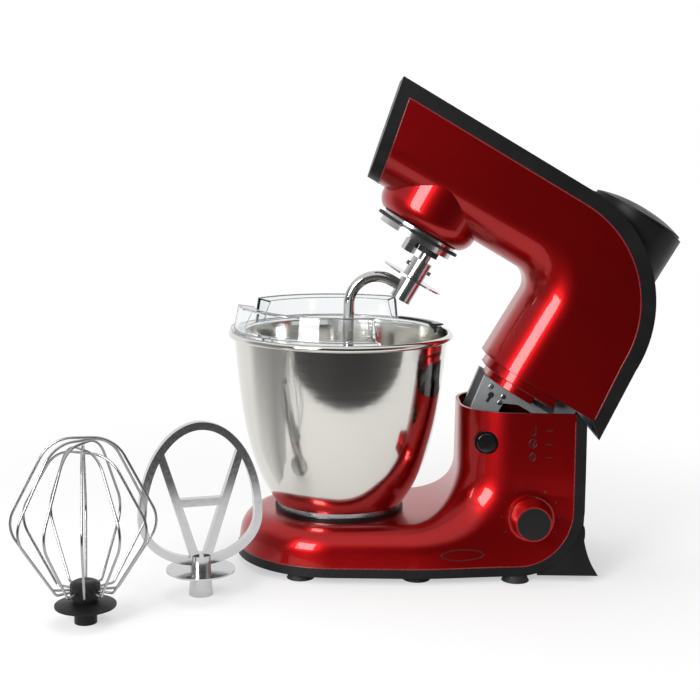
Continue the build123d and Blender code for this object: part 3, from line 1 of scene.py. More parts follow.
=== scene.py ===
from math import cos, pi, radians, sin

import bmesh
import bpy
from bpy.props import FloatProperty, FloatVectorProperty, IntProperty, PointerProperty
from mathutils import Matrix, Vector
from mathutils.bvhtree import BVHTree


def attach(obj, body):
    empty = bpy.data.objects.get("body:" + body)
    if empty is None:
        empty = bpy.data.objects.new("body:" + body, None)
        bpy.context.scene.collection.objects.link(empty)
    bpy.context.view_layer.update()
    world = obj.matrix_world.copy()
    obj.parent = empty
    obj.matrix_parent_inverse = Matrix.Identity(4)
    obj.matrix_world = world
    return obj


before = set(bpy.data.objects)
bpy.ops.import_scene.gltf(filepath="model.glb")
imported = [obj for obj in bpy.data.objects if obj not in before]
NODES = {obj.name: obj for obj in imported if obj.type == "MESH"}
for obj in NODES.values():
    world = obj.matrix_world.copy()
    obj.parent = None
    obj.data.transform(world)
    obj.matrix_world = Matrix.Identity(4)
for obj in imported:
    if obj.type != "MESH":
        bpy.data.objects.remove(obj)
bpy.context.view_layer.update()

bl_info = {
    "name": "Stand Mixer Looks",
    "version": (1, 0, 0),
    "blender": (4, 5, 0),
    "location": "View3D > Sidebar > Mixer",
    "description": "Gives the stand mixer its finishes, seams, printed marks and studio",
    "category": "Object",
}

# Places on the mixer, in metres: +X to the rear, -Y the side with the dial.
# The head's places are those of the lowered head; swing() raises them.
HINGE = Vector((0.216, 0, 0.136))
HEAD_RAISED = radians(30)
HEAD_TOP = 0.340
HEAD_UNDER = 0.245
HEAD_ROUND = 0.045
HEAD_FRONT_TOP = -0.088
HEAD_FRONT_FOOT = -0.069
HEAD_TAIL = 0.242
HEAD_HALF_FRONT = 0.051
HEAD_HALF_REAR = 0.060
BACK_START = 0.115
BACK_RADIUS = 0.121
BAND = 0.014
CAP_DEPTH = 0.012
SEAM_FOOT = 0.161

# Collar under the neck: inset, height and back end of each dark line of painted shade in a concave
# step, and of each lower edge that carries a bead of painted highlight
NECK_CENTRE = (0.159, 0.0115)
NECK_SHADE_LINES = ((0.0058, 0.1586, 0.190), (0.0118, 0.1486, 0.172))
NECK_EDGES = ((0.0, 0.1591, 0.200), (0.0059, 0.1491, 0.190), (0.0119, 0.1411, 0.172))

# Base: its foot seam runs along the tongue, round the corner and up the column's back;
# the two runs are first, last and step in millimetres
SHELL_FLOOR = 0.014
TONGUE_ROUND_X = -0.006
TONGUE_HALF = 0.093
COLUMN_BACK = 0.221
CORNER_RADIUS = 0.052
SEAM_SET_IN = 0.0006
FOOT_RUN = (-5, 163, 8)
BACK_RUN = (70, 150, 8)

# Printed marks on the base
DIAL = (0.180, 0.060)
TICK_SWEEP = 120
ICON_X = 0.181
ICON_HEIGHTS = (0.141, 0.1285, 0.116)
ICON_RULE = (0.012, 0.018)
BADGE = (0.116, 0.0265)
BADGE_SLIMNESS = 0.24

# Hinge bracket
BRACKET_FACE = -0.030
BRACKET_SCREWS = ((0.1335, 0.135), (0.1486, 0.1325), (0.1488, 0.126))
KEYHOLE = (0.138, 0.128)
KEYHOLE_RADIUS = 0.0029
KEYHOLE_HALF_SLOT = 0.0014
KEYHOLE_LENGTH = 0.0078
KEYHOLE_SWEEP = 150
KEYHOLE_DEPTH = 0.0012

# Drip ring: radius and height of each dark line of painted shade in its grooves
DRIP_GROOVES = ((0.038, 0.2284), (0.038, 0.2244), (0.0425, 0.2244), (0.0425, 0.223))

# Splash guard: spans in degrees round the bowl
GUARD_TOP = 0.2273
GUARD_SPAN = (20, 290)
GUARD_INSIDE, GUARD_OUTSIDE = 0.093, 0.1065
WING_SPANS = ((184, 288), (56, 148))
WING_EDGE = ((0.103, 0.2273), (0.099, 0.2493), (0.084, 0.2473))
ARC_STEPS = 48
CLIP_SPAN = (14, 54)
CLIP_INSIDE, CLIP_OUTSIDE = 0.098, 0.1045
CLIP_RISE = 0.0018
CLIP_TONGUE_SPAN = (14, 20)
CLIP_TONGUE_REACH = 0.003
CLIP_TONGUE_DROP = 0.004
CLIP_ROUND = 0.0007
CLIP_ROUND_STEPS = 3
CLIP_STEPS = 10

# Screw head: steps round it and down it, then shares of its radius
SCREW_ROUND, SCREW_DOWN = 24, 12
SCREW_RISE = 0.45
SLOT_HALF = 0.16
SLOT_START = 0.25
SLOT_DEPTH = 0.2

# Photograph's camera
CAMERA_AT = (0.009, -1.251, 0.399)
CAMERA_PITCH = radians(8.8)
CAMERA_ROLL = radians(0.7)
CAMERA_SENSOR = 36
FOCAL_PIXELS = 1300
PHOTO_WIDTH = 700
CAMERA_LENS = CAMERA_SENSOR * FOCAL_PIXELS / PHOTO_WIDTH

# Floor and world: the floor keeps some of its own shade within FADE_START of the bowl
# and is as white as the background from FADE_END outwards
WHITE = (1, 1, 1, 1)
PAPER = (0.86, 0.86, 0.86, 1)
FLOOR_HALF = 6
FLOOR_LEVEL = -0.0003
FADE_START, FADE_END = 0.2, 0.75
FADE_LEAST = 0.5
AMBIENT = 0.4

# Softboxes: place, width and height, share of the lamp power, mirrored by the mixer or not
LIGHT_TARGET = Vector((0.05, 0, 0.2))
SOFTBOXES = {
    "key_softbox": ((-1.02, -1.53, 0.85), (0.75, 0.9), 1.75, True),
    "side_softbox": ((-1.75, -0.3, 1.0), (0.8, 0.8), 0.2, False),
    "fill_softbox": ((1.6, -1.0, 1.3), (0.9, 0.9), 0.35, False),
    "top_softbox": ((0.1, 0.3, 1.8), (1.2, 1.2), 0.65, False),
}

# Dim floor and wall on the camera's side, for reflections: angle off the viewing direction,
# nearest edge on the floor, brightness at that edge, brightness from ROOM_FAR outwards
ROOM = (
    (-112, 0.30, 1.00, 1.00),
    (-100, 0.20, 0.85, 0.45),
    (-90, 0.14, 0.80, 0.30),
    (-75, 0.16, 0.45, 0.30),
    (-63, 0.22, 0.60, 0.20),
    (-52, 0.66, 0.95, 0.08),
    (-47, 0.62, 0.10, 0.05),
    (-32, 0.53, 0.08, 0.05),
    (-17, 0.465, 0.08, 0.05),
    (-2, 0.435, 0.07, 0.04),
    (10, 0.43, 0.07, 0.03),
    (22, 0.438, 0.07, 0.03),
    (37, 0.475, 0.08, 0.04),
    (52, 0.55, 0.09, 0.08),
    (64, 0.66, 0.10, 0.20),
    (72, 0.80, 0.90, 0.50),
    (100, 0.60, 0.80, 0.60),
    (112, 0.60, 1.00, 1.00),
)
ROOM_STEP = 3
ROOM_FAR = 1.0
ROOM_WALL = 2.6
ROOM_FLOOR, ROOM_DIM_TOP, ROOM_TOP = 0.002, 1.3, 2.4
ROOM_TOP_GLOW = 1.0

# Colour sockets of a Mix node, and the range that holds most of a noise's values
MIX_DARK, MIX_LIGHT, MIX_COLOUR = 6, 7, 2
NOISE_LOW, NOISE_HIGH = 0.3, 0.7

# Meshes: distance at which points are one, bend that stays sharp, start of a ray on the near side,
# bevel resolution of a stroke
WELD = 0.00001
CREASE = radians(30)
RAY_START = -1
STROKE_BEVEL = 2


class MixerLooks(bpy.types.PropertyGroup):
    """Colours and sizes of the mixer's looks"""

    paint: FloatVectorProperty(
        name="Paint",
        description="Candy red of the housing",
        subtype="COLOR",
        default=(0.37, 0.0016, 0.003),
    )
    trim: FloatVectorProperty(
        name="Trim",
        description="Black of the moulded trim",
        subtype="COLOR",
        default=(0.006, 0.006, 0.0064),
    )
    steel: FloatVectorProperty(
        name="Bowl steel",
        description="Colour of the bowl",
        subtype="COLOR",
        default=(0.70, 0.682, 0.64),
    )
    chrome: FloatVectorProperty(
        name="Chrome",
        description="Colour of the plated pieces",
        subtype="COLOR",
        default=(0.56, 0.56, 0.565),
    )
    # The beads along the seams carry a painted highlight
    seam: FloatProperty(
        name="Seam", description="Radius of the bead along a seam", default=0.0007, unit="LENGTH"
    )
    mark: FloatProperty(
        name="Mark", description="Radius of a printed stroke", default=0.00045, unit="LENGTH"
    )
    ticks: IntProperty(name="Ticks", description="Marks round the speed dial", default=9)
    lamps: FloatProperty(
        name="Lamps",
        description="Power that each softbox takes its share of",
        default=20,
        unit="POWER",
    )


class Finish:
    """A material being built on its Principled shader, with textures in the piece's own metres"""

    def __init__(self, name):
        self.material = bpy.data.materials.new(name)
        self.material.use_nodes = True
        self.tree = self.material.node_tree
        self.shader = self.tree.nodes["Principled BSDF"]

    def node(self, kind, **settings):
        made = self.tree.nodes.new(kind)
        for key, value in settings.items():
            setattr(made, key, value)
        return made

    def join(self, output, socket):
        self.tree.links.new(output, socket)

    def set(self, **values):
        """Set the shader's sockets; an underscore in a name stands for a space"""
        for key, value in values.items():
            self.shader.inputs[key.replace("_", " ")].default_value = value
        return self

    def noise(self, size, stretch=(1, 1, 1), detail=2.0):
        """Noise whose grain is about size across, drawn out along an axis by a small stretch"""
        coordinates = self.node("ShaderNodeTexCoord")
        mapping = self.node("ShaderNodeMapping")
        mapping.inputs["Scale"].default_value = stretch
        texture = self.node("ShaderNodeTexNoise")
        texture.inputs["Scale"].default_value = 1 / size
        texture.inputs["Detail"].default_value = detail
        self.join(coordinates.outputs["Object"], mapping.inputs["Vector"])
        self.join(mapping.outputs["Vector"], texture.inputs["Vector"])
        return texture.outputs["Fac"]

    def colour(self, factor, dark, light):
        """Base colour between two colours"""
        mix = self.node("ShaderNodeMix", data_type="RGBA")
        mix.inputs[MIX_DARK].default_value = (*dark, 1)
        mix.inputs[MIX_LIGHT].default_value = (*light, 1)
        self.join(factor, mix.inputs["Factor"])
        self.join(mix.outputs[MIX_COLOUR], self.shader.inputs["Base Color"])
        return self

    def rough(self, factor, low, high):
        """Roughness between two values"""
        spread = self.node("ShaderNodeMapRange")
        spread.inputs["From Min"].default_value = NOISE_LOW
        spread.inputs["From Max"].default_value = NOISE_HIGH
        spread.inputs["To Min"].default_value = low
        spread.inputs["To Max"].default_value = high
        self.join(factor, spread.inputs["Value"])
        self.join(spread.outputs["Result"], self.shader.inputs["Roughness"])
        return self

    def bump(self, factor, depth, strength=1.0):
        """Relief of a depth in metres"""
        relief = self.node("ShaderNodeBump")
        relief.inputs["Distance"].default_value = depth
        relief.inputs["Strength"].default_value = strength
        self.join(factor, relief.inputs["Height"])
        self.join(relief.outputs["Normal"], self.shader.inputs["Normal"])
        return self


def shade(colour, share):
    """A colour made darker or lighter by a share"""
    return tuple(min(1, channel * share) for channel in colour)


def red_paint(looks):
    finish = Finish("candy_red_paint")
    finish.colour(finish.noise(size=0.06), shade(looks.paint, 0.85), shade(looks.paint, 1.1))
    finish.rough(finish.noise(size=0.0008, detail=1), low=0.30, high=0.36)
    finish.bump(finish.noise(size=0.004), depth=0.00001)
    return finish.set(Metallic=0.9, Coat_Weight=0.5, Coat_Roughness=0.05, Coat_IOR=1.5)


def black_moulding(looks):
    finish = Finish("satin_black_moulding")
    finish.colour(finish.noise(size=0.03), shade(looks.trim, 0.8), shade(looks.trim, 1.6))
    finish.rough(finish.noise(size=0.02), low=0.36, high=0.5)
    finish.bump(finish.noise(size=0.0007, detail=1), depth=0.00004, strength=0.5)
    return finish.set(Specular_IOR_Level=0.2)


def gloss_black(looks):
    finish = Finish("gloss_black_plastic")
    finish.colour(finish.noise(size=0.01), shade(looks.trim, 0.6), looks.trim)
    finish.rough(finish.noise(size=0.004), low=0.12, high=0.22)
    return finish.set(Coat_Weight=0.3, Coat_Roughness=0.05)


def bowl_steel(looks):
    finish = Finish("polished_bowl_steel")
    finish.colour(finish.noise(size=0.05), shade(looks.steel, 0.95), looks.steel)
    lines = finish.noise(size=0.0012, stretch=(0.02, 0.02, 1), detail=3)
    finish.rough(lines, low=0.08, high=0.12)
    finish.bump(lines, depth=0.000002, strength=0.2)
    return finish.set(Metallic=1.0)


def plated_chrome(looks):
    finish = Finish("plated_chrome")
    finish.colour(finish.noise(size=0.02), shade(looks.chrome, 0.92), looks.chrome)
    finish.rough(finish.noise(size=0.006), low=0.06, high=0.14)
    return finish.set(Metallic=0.95)


def satin_chrome(looks):
    finish = Finish("satin_chrome")
    finish.colour(finish.noise(size=0.02), shade(looks.chrome, 0.8), shade(looks.chrome, 0.92))
    finish.rough(finish.noise(size=0.01), low=0.16, high=0.22)
    return finish.set(Metallic=0.95)


def drawn_wire(looks):
    finish = Finish("drawn_steel_wire")
    finish.colour(finish.noise(size=0.01), shade(looks.chrome, 0.6), shade(looks.chrome, 0.8))
    finish.rough(finish.noise(size=0.004), low=0.16, high=0.26)
    return finish.set(Metallic=1.0)


def cast_aluminium(looks):
    finish = Finish("burnished_aluminium")
    finish.colour(finish.noise(size=0.012), shade(looks.chrome, 0.9), shade(looks.chrome, 1.08))
    finish.rough(finish.noise(size=0.003), low=0.12, high=0.2)
    finish.bump(finish.noise(size=0.0025), depth=0.00001, strength=0.15)
    return finish.set(Metallic=0.95)


def clear_plastic(looks):
    finish = Finish("clear_guard_plastic")
    finish.rough(finish.noise(size=0.02), low=0.01, high=0.05)
    return finish.set(Base_Color=(0.95, 0.97, 0.98, 1), Transmission_Weight=1.0, IOR=1.42)


# Painted reflection: grey strokes on the clear guard's edges stand in for the light and dark an
# edge of clear plastic shows
def guard_edge_reflection(looks):
    finish = Finish("painted_guard_edge_reflection")
    finish.colour(finish.noise(size=0.01), dark=(0.20, 0.21, 0.22), light=(0.42, 0.43, 0.44))
    finish.rough(finish.noise(size=0.004), low=0.1, high=0.25)
    return finish.set(IOR=1.49, Transmission_Weight=0.35)


def foot_rubber(looks):
    finish = Finish("foot_rubber")
    finish.colour(finish.noise(size=0.006), shade(looks.trim, 0.7), shade(looks.trim, 1.8))
    finish.rough(finish.noise(size=0.003), low=0.6, high=0.8)
    return finish.bump(finish.noise(size=0.001), depth=0.00005)


def grey_bracket(looks):
    finish = Finish("phosphated_bracket_steel")
    finish.colour(finish.noise(size=0.004), dark=(0.28, 0.30, 0.31), light=(0.38, 0.40, 0.41))
    finish.rough(finish.noise(size=0.002), low=0.32, high=0.5)
    finish.bump(finish.noise(size=0.001), depth=0.00003)
    return finish.set(Metallic=0.5)


def turned_steel(looks):
    finish = Finish("turned_steel")
    finish.colour(finish.noise(size=0.003), dark=(0.34, 0.34, 0.35), light=(0.46, 0.46, 0.47))
    finish.rough(finish.noise(size=0.0008, stretch=(0.1, 0.1, 1)), low=0.2, high=0.36)
    return finish.set(Metallic=1.0)


def white_nylon(looks):
    finish = Finish("white_nylon")
    finish.colour(finish.noise(size=0.01), dark=(0.66, 0.65, 0.6), light=(0.76, 0.75, 0.71))
    finish.rough(finish.noise(size=0.004), low=0.4, high=0.55)
    return finish.set(Subsurface_Weight=0.1)


def wound_copper(looks):
    finish = Finish("wound_copper")
    strands = finish.noise(size=0.0012, stretch=(1, 1, 0.05))
    finish.colour(strands, dark=(0.4, 0.15, 0.05), light=(0.62, 0.28, 0.12))
    finish.rough(strands, low=0.25, high=0.4)
    finish.bump(strands, depth=0.0003)
    return finish.set(Metallic=1.0)


def carbon(looks):
    finish = Finish("pressed_carbon")
    finish.colour(finish.noise(size=0.001), dark=(0.02, 0.02, 0.02), light=(0.05, 0.05, 0.05))
    return finish.rough(finish.noise(size=0.0008), low=0.5, high=0.7)


def circuit_green(looks):
    finish = Finish("circuit_green")
    finish.colour(finish.noise(size=0.003), dark=(0.01, 0.09, 0.04), light=(0.03, 0.16, 0.07))
    return finish.rough(finish.noise(size=0.004), low=0.35, high=0.5)


# Dark print on the base; the same finish draws the painted shade lines in the neck collar's steps
def print_and_painted_shade(looks):
    finish = Finish("print_and_painted_shade")
    finish.colour(finish.noise(size=0.003), dark=(0.006, 0.001, 0.001), light=(0.02, 0.003, 0.003))
    return finish.rough(finish.noise(size=0.001), low=0.3, high=0.45)


# Painted highlight: red beads along seams and edges, a lighter red that stands in for light caught
# on the edges
def seam_highlight(looks):
    finish = Finish("painted_seam_highlight")
    finish.colour(finish.noise(size=0.01), dark=(0.10, 0.006, 0.007), light=(0.22, 0.012, 0.014))
    return finish.rough(finish.noise(size=0.004), low=0.2, high=0.35)


FINISHES = {
    "paint": red_paint,
    "moulding": black_moulding,
    "gloss": gloss_black,
    "steel": bowl_steel,
    "chrome": plated_chrome,
    "satin": satin_chrome,
    "wire": drawn_wire,
    "aluminium": cast_aluminium,
    "clear": clear_plastic,
    "edge": guard_edge_reflection,
    "rubber": foot_rubber,
    "bracket": grey_bracket,
    "turned": turned_steel,
    "nylon": white_nylon,
    "copper": wound_copper,
    "carbon": carbon,
    "circuit": circuit_green,
    "mark": print_and_painted_shade,
    "seam": seam_highlight,
}
made_finishes = {}


def finish_of(kind):
    """The material of a finish, made when it is first asked for"""
    if kind not in made_finishes:
        made_finishes[kind] = FINISHES[kind](bpy.context.scene.mixer_looks).material
    return made_finishes[kind]


def moulded_surface():
    """Geometry nodes that weld a solid's facets and shade them smooth up to the crease angle"""
    name = "Moulded surface"
    if name in bpy.data.node_groups:
        return bpy.data.node_groups[name]
    group = bpy.data.node_groups.new(name, "GeometryNodeTree")
    for way in ("INPUT", "OUTPUT"):
        group.interface.new_socket("Geometry", in_out=way, socket_type="NodeSocketGeometry")
    nodes, links = group.nodes, group.links
    start, end = nodes.new("NodeGroupInput"), nodes.new("NodeGroupOutput")
    weld = nodes.new("GeometryNodeMergeByDistance")
    weld.inputs["Distance"].default_value = WELD
    faces = nodes.new("GeometryNodeSetShadeSmooth")
    edges = nodes.new("GeometryNodeSetShadeSmooth")
    edges.domain = "EDGE"
    edges.inputs["Shade Smooth"].default_value = False
    bend = nodes.new("GeometryNodeInputMeshEdgeAngle")
    sharp = nodes.new("FunctionNodeCompare")
    sharp.operation = "GREATER_THAN"
    sharp.inputs["B"].default_value = CREASE
    links.new(start.outputs[0], weld.inputs["Geometry"])
    links.new(weld.outputs["Geometry"], faces.inputs["Geometry"])
    links.new(faces.outputs["Geometry"], edges.inputs["Geometry"])
    links.new(bend.outputs["Unsigned Angle"], sharp.inputs["A"])
    links.new(sharp.outputs["Result"], edges.inputs["Selection"])
    links.new(edges.outputs["Geometry"], end.inputs[0])
    return group


def dress(kind, *names):
    """Give solids their finish and a smooth surface"""
    for name in names:
        solid = NODES[name]
        solid.data.materials.clear()
        solid.data.materials.append(finish_of(kind))
        modifier = solid.modifiers.new("Moulded surface", "NODES")
        modifier.node_group = moulded_surface()


def place(piece, kind, body):
    """Link a new piece, give it its finish and let it ride on a body"""
    bpy.context.scene.collection.objects.link(piece)
    piece.data.materials.append(finish_of(kind))
    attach(piece, body)
    return piece


def swing(point):
    """A point of the lowered head, in the raised rest pose"""
    turn = Matrix.Rotation(HEAD_RAISED, 3, "Y")
    return HINGE + turn @ (Vector(point) - HINGE)


def turns(first, last, step):
    """Angles from first to last, given in degrees"""
    return [radians(angle) for angle in range(first, last + 1, step)]


def run(first, last, step):
    """Lengths from first to last, given in millimetres"""
    return [length / 1000 for length in range(first, last + 1, step)]


def strokes(name, lines, radius, closed=False):
    """One curve object of round strokes through lists of points"""
    curve = bpy.data.curves.new(name, "CURVE")
    curve.dimensions = "3D"
    curve.bevel_depth = radius
    curve.bevel_resolution = STROKE_BEVEL
    curve.use_fill_caps = True
    for points in lines:
        spline = curve.splines.new("POLY")
        spline.points.add(len(points) - 1)
        for knot, point in zip(spline.points, points):
            knot.co = (*point, 1)
        spline.use_cyclic_u = closed
    return bpy.data.objects.new(name, curve)


def solid_piece(name, built):
    """An object of what was built"""
    mesh = bpy.data.meshes.new(name)
    built.to_mesh(mesh)
    built.free()
    return bpy.data.objects.new(name, mesh)


def lofted(name, bars):
    """One object of closed bars, each through its own sections"""
    built = bmesh.new()
    for sections in bars:
        rings = [[built.verts.new(point) for point in section] for section in sections]
        for here, there in zip(rings, rings[1:]):
            for a in range(len(here)):
                b = (a + 1) % len(here)
                built.faces.new((here[a], here[b], there[b], there[a]))
        built.faces.new(reversed(rings[0]))
        built.faces.new(rings[-1])
    bmesh.ops.recalc_face_normals(built, faces=built.faces)
    return solid_piece(name, built)


class Surface:
    """The near side of a solid, for setting marks on it"""

    def __init__(self, name):
        solid = NODES[name].data
        points = [vertex.co for vertex in solid.vertices]
        faces = [tuple(face.vertices) for face in solid.polygons]
        self.tree = BVHTree.FromPolygons(points, faces)

    def at(self, x, z):
        """The point of the near side at (x, z)"""
        hit = self.tree.ray_cast(Vector((x, RAY_START, z)), Vector((0, 1, 0)))[0]
        if hit is None:
            raise RuntimeError(f"no surface at {x:.4f}, {z:.4f}")
        return hit


def bare_tree(owner):
    """Nodes and links of a material or a world, with nothing in them"""
    owner.use_nodes = True
    tree = owner.node_tree
    tree.nodes.clear()
    return tree.nodes, tree.links


class MIXER_OT_stage(bpy.types.Operator):
    """Make the pale floor, the soft lights, the dim room that is mirrored and the camera"""

    bl_idname = "mixer.stage"
    bl_label = "Studio"

    def execute(self, context):
        self.floor(context)
        self.world(context)
        self.lights(context)
        self.room(context)
        self.camera(context)
        context.scene.view_settings.view_transform = "Standard"
        return {"FINISHED"}

    def floor(self, context):
        """White paper that keeps the mixer's shadow"""
        mesh = bpy.data.meshes.new("studio_floor")
        corners = [(-FLOOR_HALF, -FLOOR_HALF), (FLOOR_HALF, -FLOOR_HALF)]
        corners += [(FLOOR_HALF, FLOOR_HALF), (-FLOOR_HALF, FLOOR_HALF)]
        mesh.from_pydata([(x, y, FLOOR_LEVEL) for x, y in corners], [], [(0, 1, 2, 3)])
        floor = bpy.data.objects.new("studio_floor", mesh)
        context.scene.collection.objects.link(floor)
        paper = bpy.data.materials.new("white_paper")
        nodes, links = bare_tree(paper)
        out = nodes.new("ShaderNodeOutputMaterial")
        diffuse = nodes.new("ShaderNodeBsdfDiffuse")
        diffuse.inputs["Color"].default_value = PAPER
        glow = nodes.new("ShaderNodeEmission")
        glow.inputs["Strength"].default_value = 1.0
        coordinates = nodes.new("ShaderNodeTexCoord")
        reach = nodes.new("ShaderNodeVectorMath")
        reach.operation = "LENGTH"
        fade = nodes.new("ShaderNodeMapRange")
        fade.interpolation_type = "SMOOTHSTEP"
        fade.inputs["From Min"].default_value = FADE_START
        fade.inputs["From Max"].default_value = FADE_END
        fade.inputs["To Min"].default_value = FADE_LEAST
        share = nodes.new("ShaderNodeMath")
        share.operation = "MULTIPLY"
        mix = nodes.new("ShaderNodeMixShader")
        links.new(coordinates.outputs["Object"], reach.inputs[0])
        links.new(reach.outputs["Value"], fade.inputs["Value"])
        links.new(fade.outputs["Result"], share.inputs[0])
        links.new(self.seen(nodes, links), share.inputs[1])
        links.new(share.outputs["Value"], mix.inputs["Fac"])
        links.new(diffuse.outputs["BSDF"], mix.inputs[1])
        links.new(glow.outputs["Emission"], mix.inputs[2])
        links.new(mix.outputs["Shader"], out.inputs["Surface"])
        mesh.materials.append(paper)

    def seen(self, nodes, links):
        """1 for camera, glossy and transmission rays, which see the white background"""
        path = nodes.new("ShaderNodeLightPath")
        opaque = nodes.new("ShaderNodeMath")
        opaque.operation = "MAXIMUM"
        total = nodes.new("ShaderNodeMath")
        total.operation = "MAXIMUM"
        links.new(path.outputs["Is Camera Ray"], opaque.inputs[0])
        links.new(path.outputs["Is Glossy Ray"], opaque.inputs[1])
        links.new(opaque.outputs["Value"], total.inputs[0])
        links.new(path.outputs["Is Transmission Ray"], total.inputs[1])
        return total.outputs["Value"]

    def world(self, context):
        """Soft light all round, and the white background"""
        world = bpy.data.worlds.new("studio")
        nodes, links = bare_tree(world)
        out = nodes.new("ShaderNodeOutputWorld")
        ambient = nodes.new("ShaderNodeBackground")
        ambient.inputs["Color"].default_value = WHITE
        ambient.inputs["Strength"].default_value = AMBIENT
        background = nodes.new("ShaderNodeBackground")
        background.inputs["Color"].default_value = WHITE
        background.inputs["Strength"].default_value = 1.0
        mix = nodes.new("ShaderNodeMixShader")
        links.new(self.seen(nodes, links), mix.inputs["Fac"])
        links.new(ambient.outputs["Background"], mix.inputs[1])
        links.new(background.outputs["Background"], mix.inputs[2])
        links.new(mix.outputs["Shader"], out.inputs["Surface"])
        context.scene.world = world

    def lights(self, context):
        """Softboxes turned to the mixer"""
        for name, (at, size, share, mirrored) in SOFTBOXES.items():
            light = bpy.data.lights.new(name, "AREA")
            light.shape = "RECTANGLE"
            light.size, light.size_y = size
            light.energy = context.scene.mixer_looks.lamps * share
            lamp = bpy.data.objects.new(name, light)
            lamp.location = at
            aim = LIGHT_TARGET - Vector(at)
            lamp.rotation_euler = aim.to_track_quat("-Z", "Y").to_euler()
            lamp.visible_glossy = mirrored
            context.scene.collection.objects.link(lamp)

    def room(self, context):
        """Dim floor and wall on the camera's side, which reflections alone see"""
        rows = []
        for (start, *here), (end, *there) in zip(ROOM, ROOM[1:]):
            steps = round((end - start) / ROOM_STEP)
            for step in range(steps):
                share = step / steps
                row = [low + (high - low) * share for low, high in zip(here, there)]
                rows.append((start + (end - start) * share, *row))
        rows.append(ROOM[-1])
        points, glow = [], []
        for angle, near, level, far in rows:
            turn = radians(angle)
            profile = (
                (near, ROOM_FLOOR, level),
                (ROOM_FAR, ROOM_FLOOR, far),
                (ROOM_WALL, ROOM_FLOOR, far),
                (ROOM_WALL, ROOM_DIM_TOP, far),
                (ROOM_WALL, ROOM_TOP, ROOM_TOP_GLOW),
            )
            for reach, height, brightness in profile:
                points.append((reach * sin(turn), -reach * cos(turn), height))
                glow.append(brightness)
        width = len(profile)
        faces = []
        for row in range(len(rows) - 1):
            here, there = row * width, (row + 1) * width
            faces += [(here + i, there + i, there + i + 1, here + i + 1) for i in range(width - 1)]
        mesh = bpy.data.meshes.new("studio_room")
        mesh.from_pydata(points, [], faces)
        mesh.attributes.new("glow", "FLOAT", "POINT").data.foreach_set("value", glow)
        room = bpy.data.objects.new("studio_room", mesh)
        context.scene.collection.objects.link(room)
        for ray in ("camera", "diffuse", "shadow", "transmission", "volume_scatter"):
            setattr(room, f"visible_{ray}", False)
        dimness = bpy.data.materials.new("dim_room")
        nodes, links = bare_tree(dimness)
        out = nodes.new("ShaderNodeOutputMaterial")
        dim = nodes.new("ShaderNodeEmission")
        level = nodes.new("ShaderNodeAttribute")
        level.attribute_name = "glow"
        links.new(level.outputs["Fac"], dim.inputs["Strength"])
        links.new(dim.outputs["Emission"], out.inputs["Surface"])
        mesh.materials.append(dimness)

    def camera(self, context):
        """The photograph's viewing angle"""
        data = bpy.data.cameras.new("photo_camera")
        data.sensor_width = CAMERA_SENSOR
        data.lens = CAMERA_LENS
        camera = bpy.data.objects.new("photo_camera", data)
        context.scene.collection.objects.link(camera)
        tilt = Matrix.Rotation(pi / 2 - CAMERA_PITCH, 4, "X")
        roll = Matrix.Rotation(CAMERA_ROLL, 4, "Z")
        camera.matrix_world = Matrix.Translation(CAMERA_AT) @ tilt @ roll
        context.scene.camera = camera


class MIXER_OT_housing(bpy.types.Operator):
    """Paint the base, the head, its neck collar and the dial's knob"""

    bl_idname = "mixer.housing"
    bl_label = "Painted housing"

    def execute(self, context):
        dress("paint", "base_shell", "head_shell", "hub_boss", "neck_collar")
        dress("paint", "speed_dial", "dial_bezel")
        return {"FINISHED"}


class MIXER_OT_trim(bpy.types.Operator):
    """Finish the black mouldings of base and head, the feet and the tray's screws"""

    bl_idname = "mixer.trim"
    bl_label = "Black trim"

    def execute(self, context):
        dress("moulding", "base_tray", "back_trim", "rear_foot", "cord_gland")
        dress("moulding", "top_cover", "front_cap", "port_cover")
        dress("rubber", "suction_feet")
        dress("turned", "tray_screws")
        return {"FINISHED"}


class MIXER_OT_controls(bpy.types.Operator):
    """Finish the tilt release, the speed dial's face and what is behind them"""

    bl_idname = "mixer.controls"
    bl_label = "Controls"

    def execute(self, context):
        dress("gloss", "release_button", "button_bezel")
        dress("moulding", "dial_face", "latch_slider", "speed_switch")
        dress("circuit", "control_board")
        return {"FINISHED"}


class MIXER_OT_bowl(bpy.types.Operator):
    """Finish the bowl, its foot ring and its seat"""

    bl_idname = "mixer.bowl"
    bl_label = "Bowl"

    def execute(self, context):
        dress("steel", "bowl_shell")
        dress("turned", "bowl_foot")
        dress("moulding", "bowl_seat")
        return {"FINISHED"}


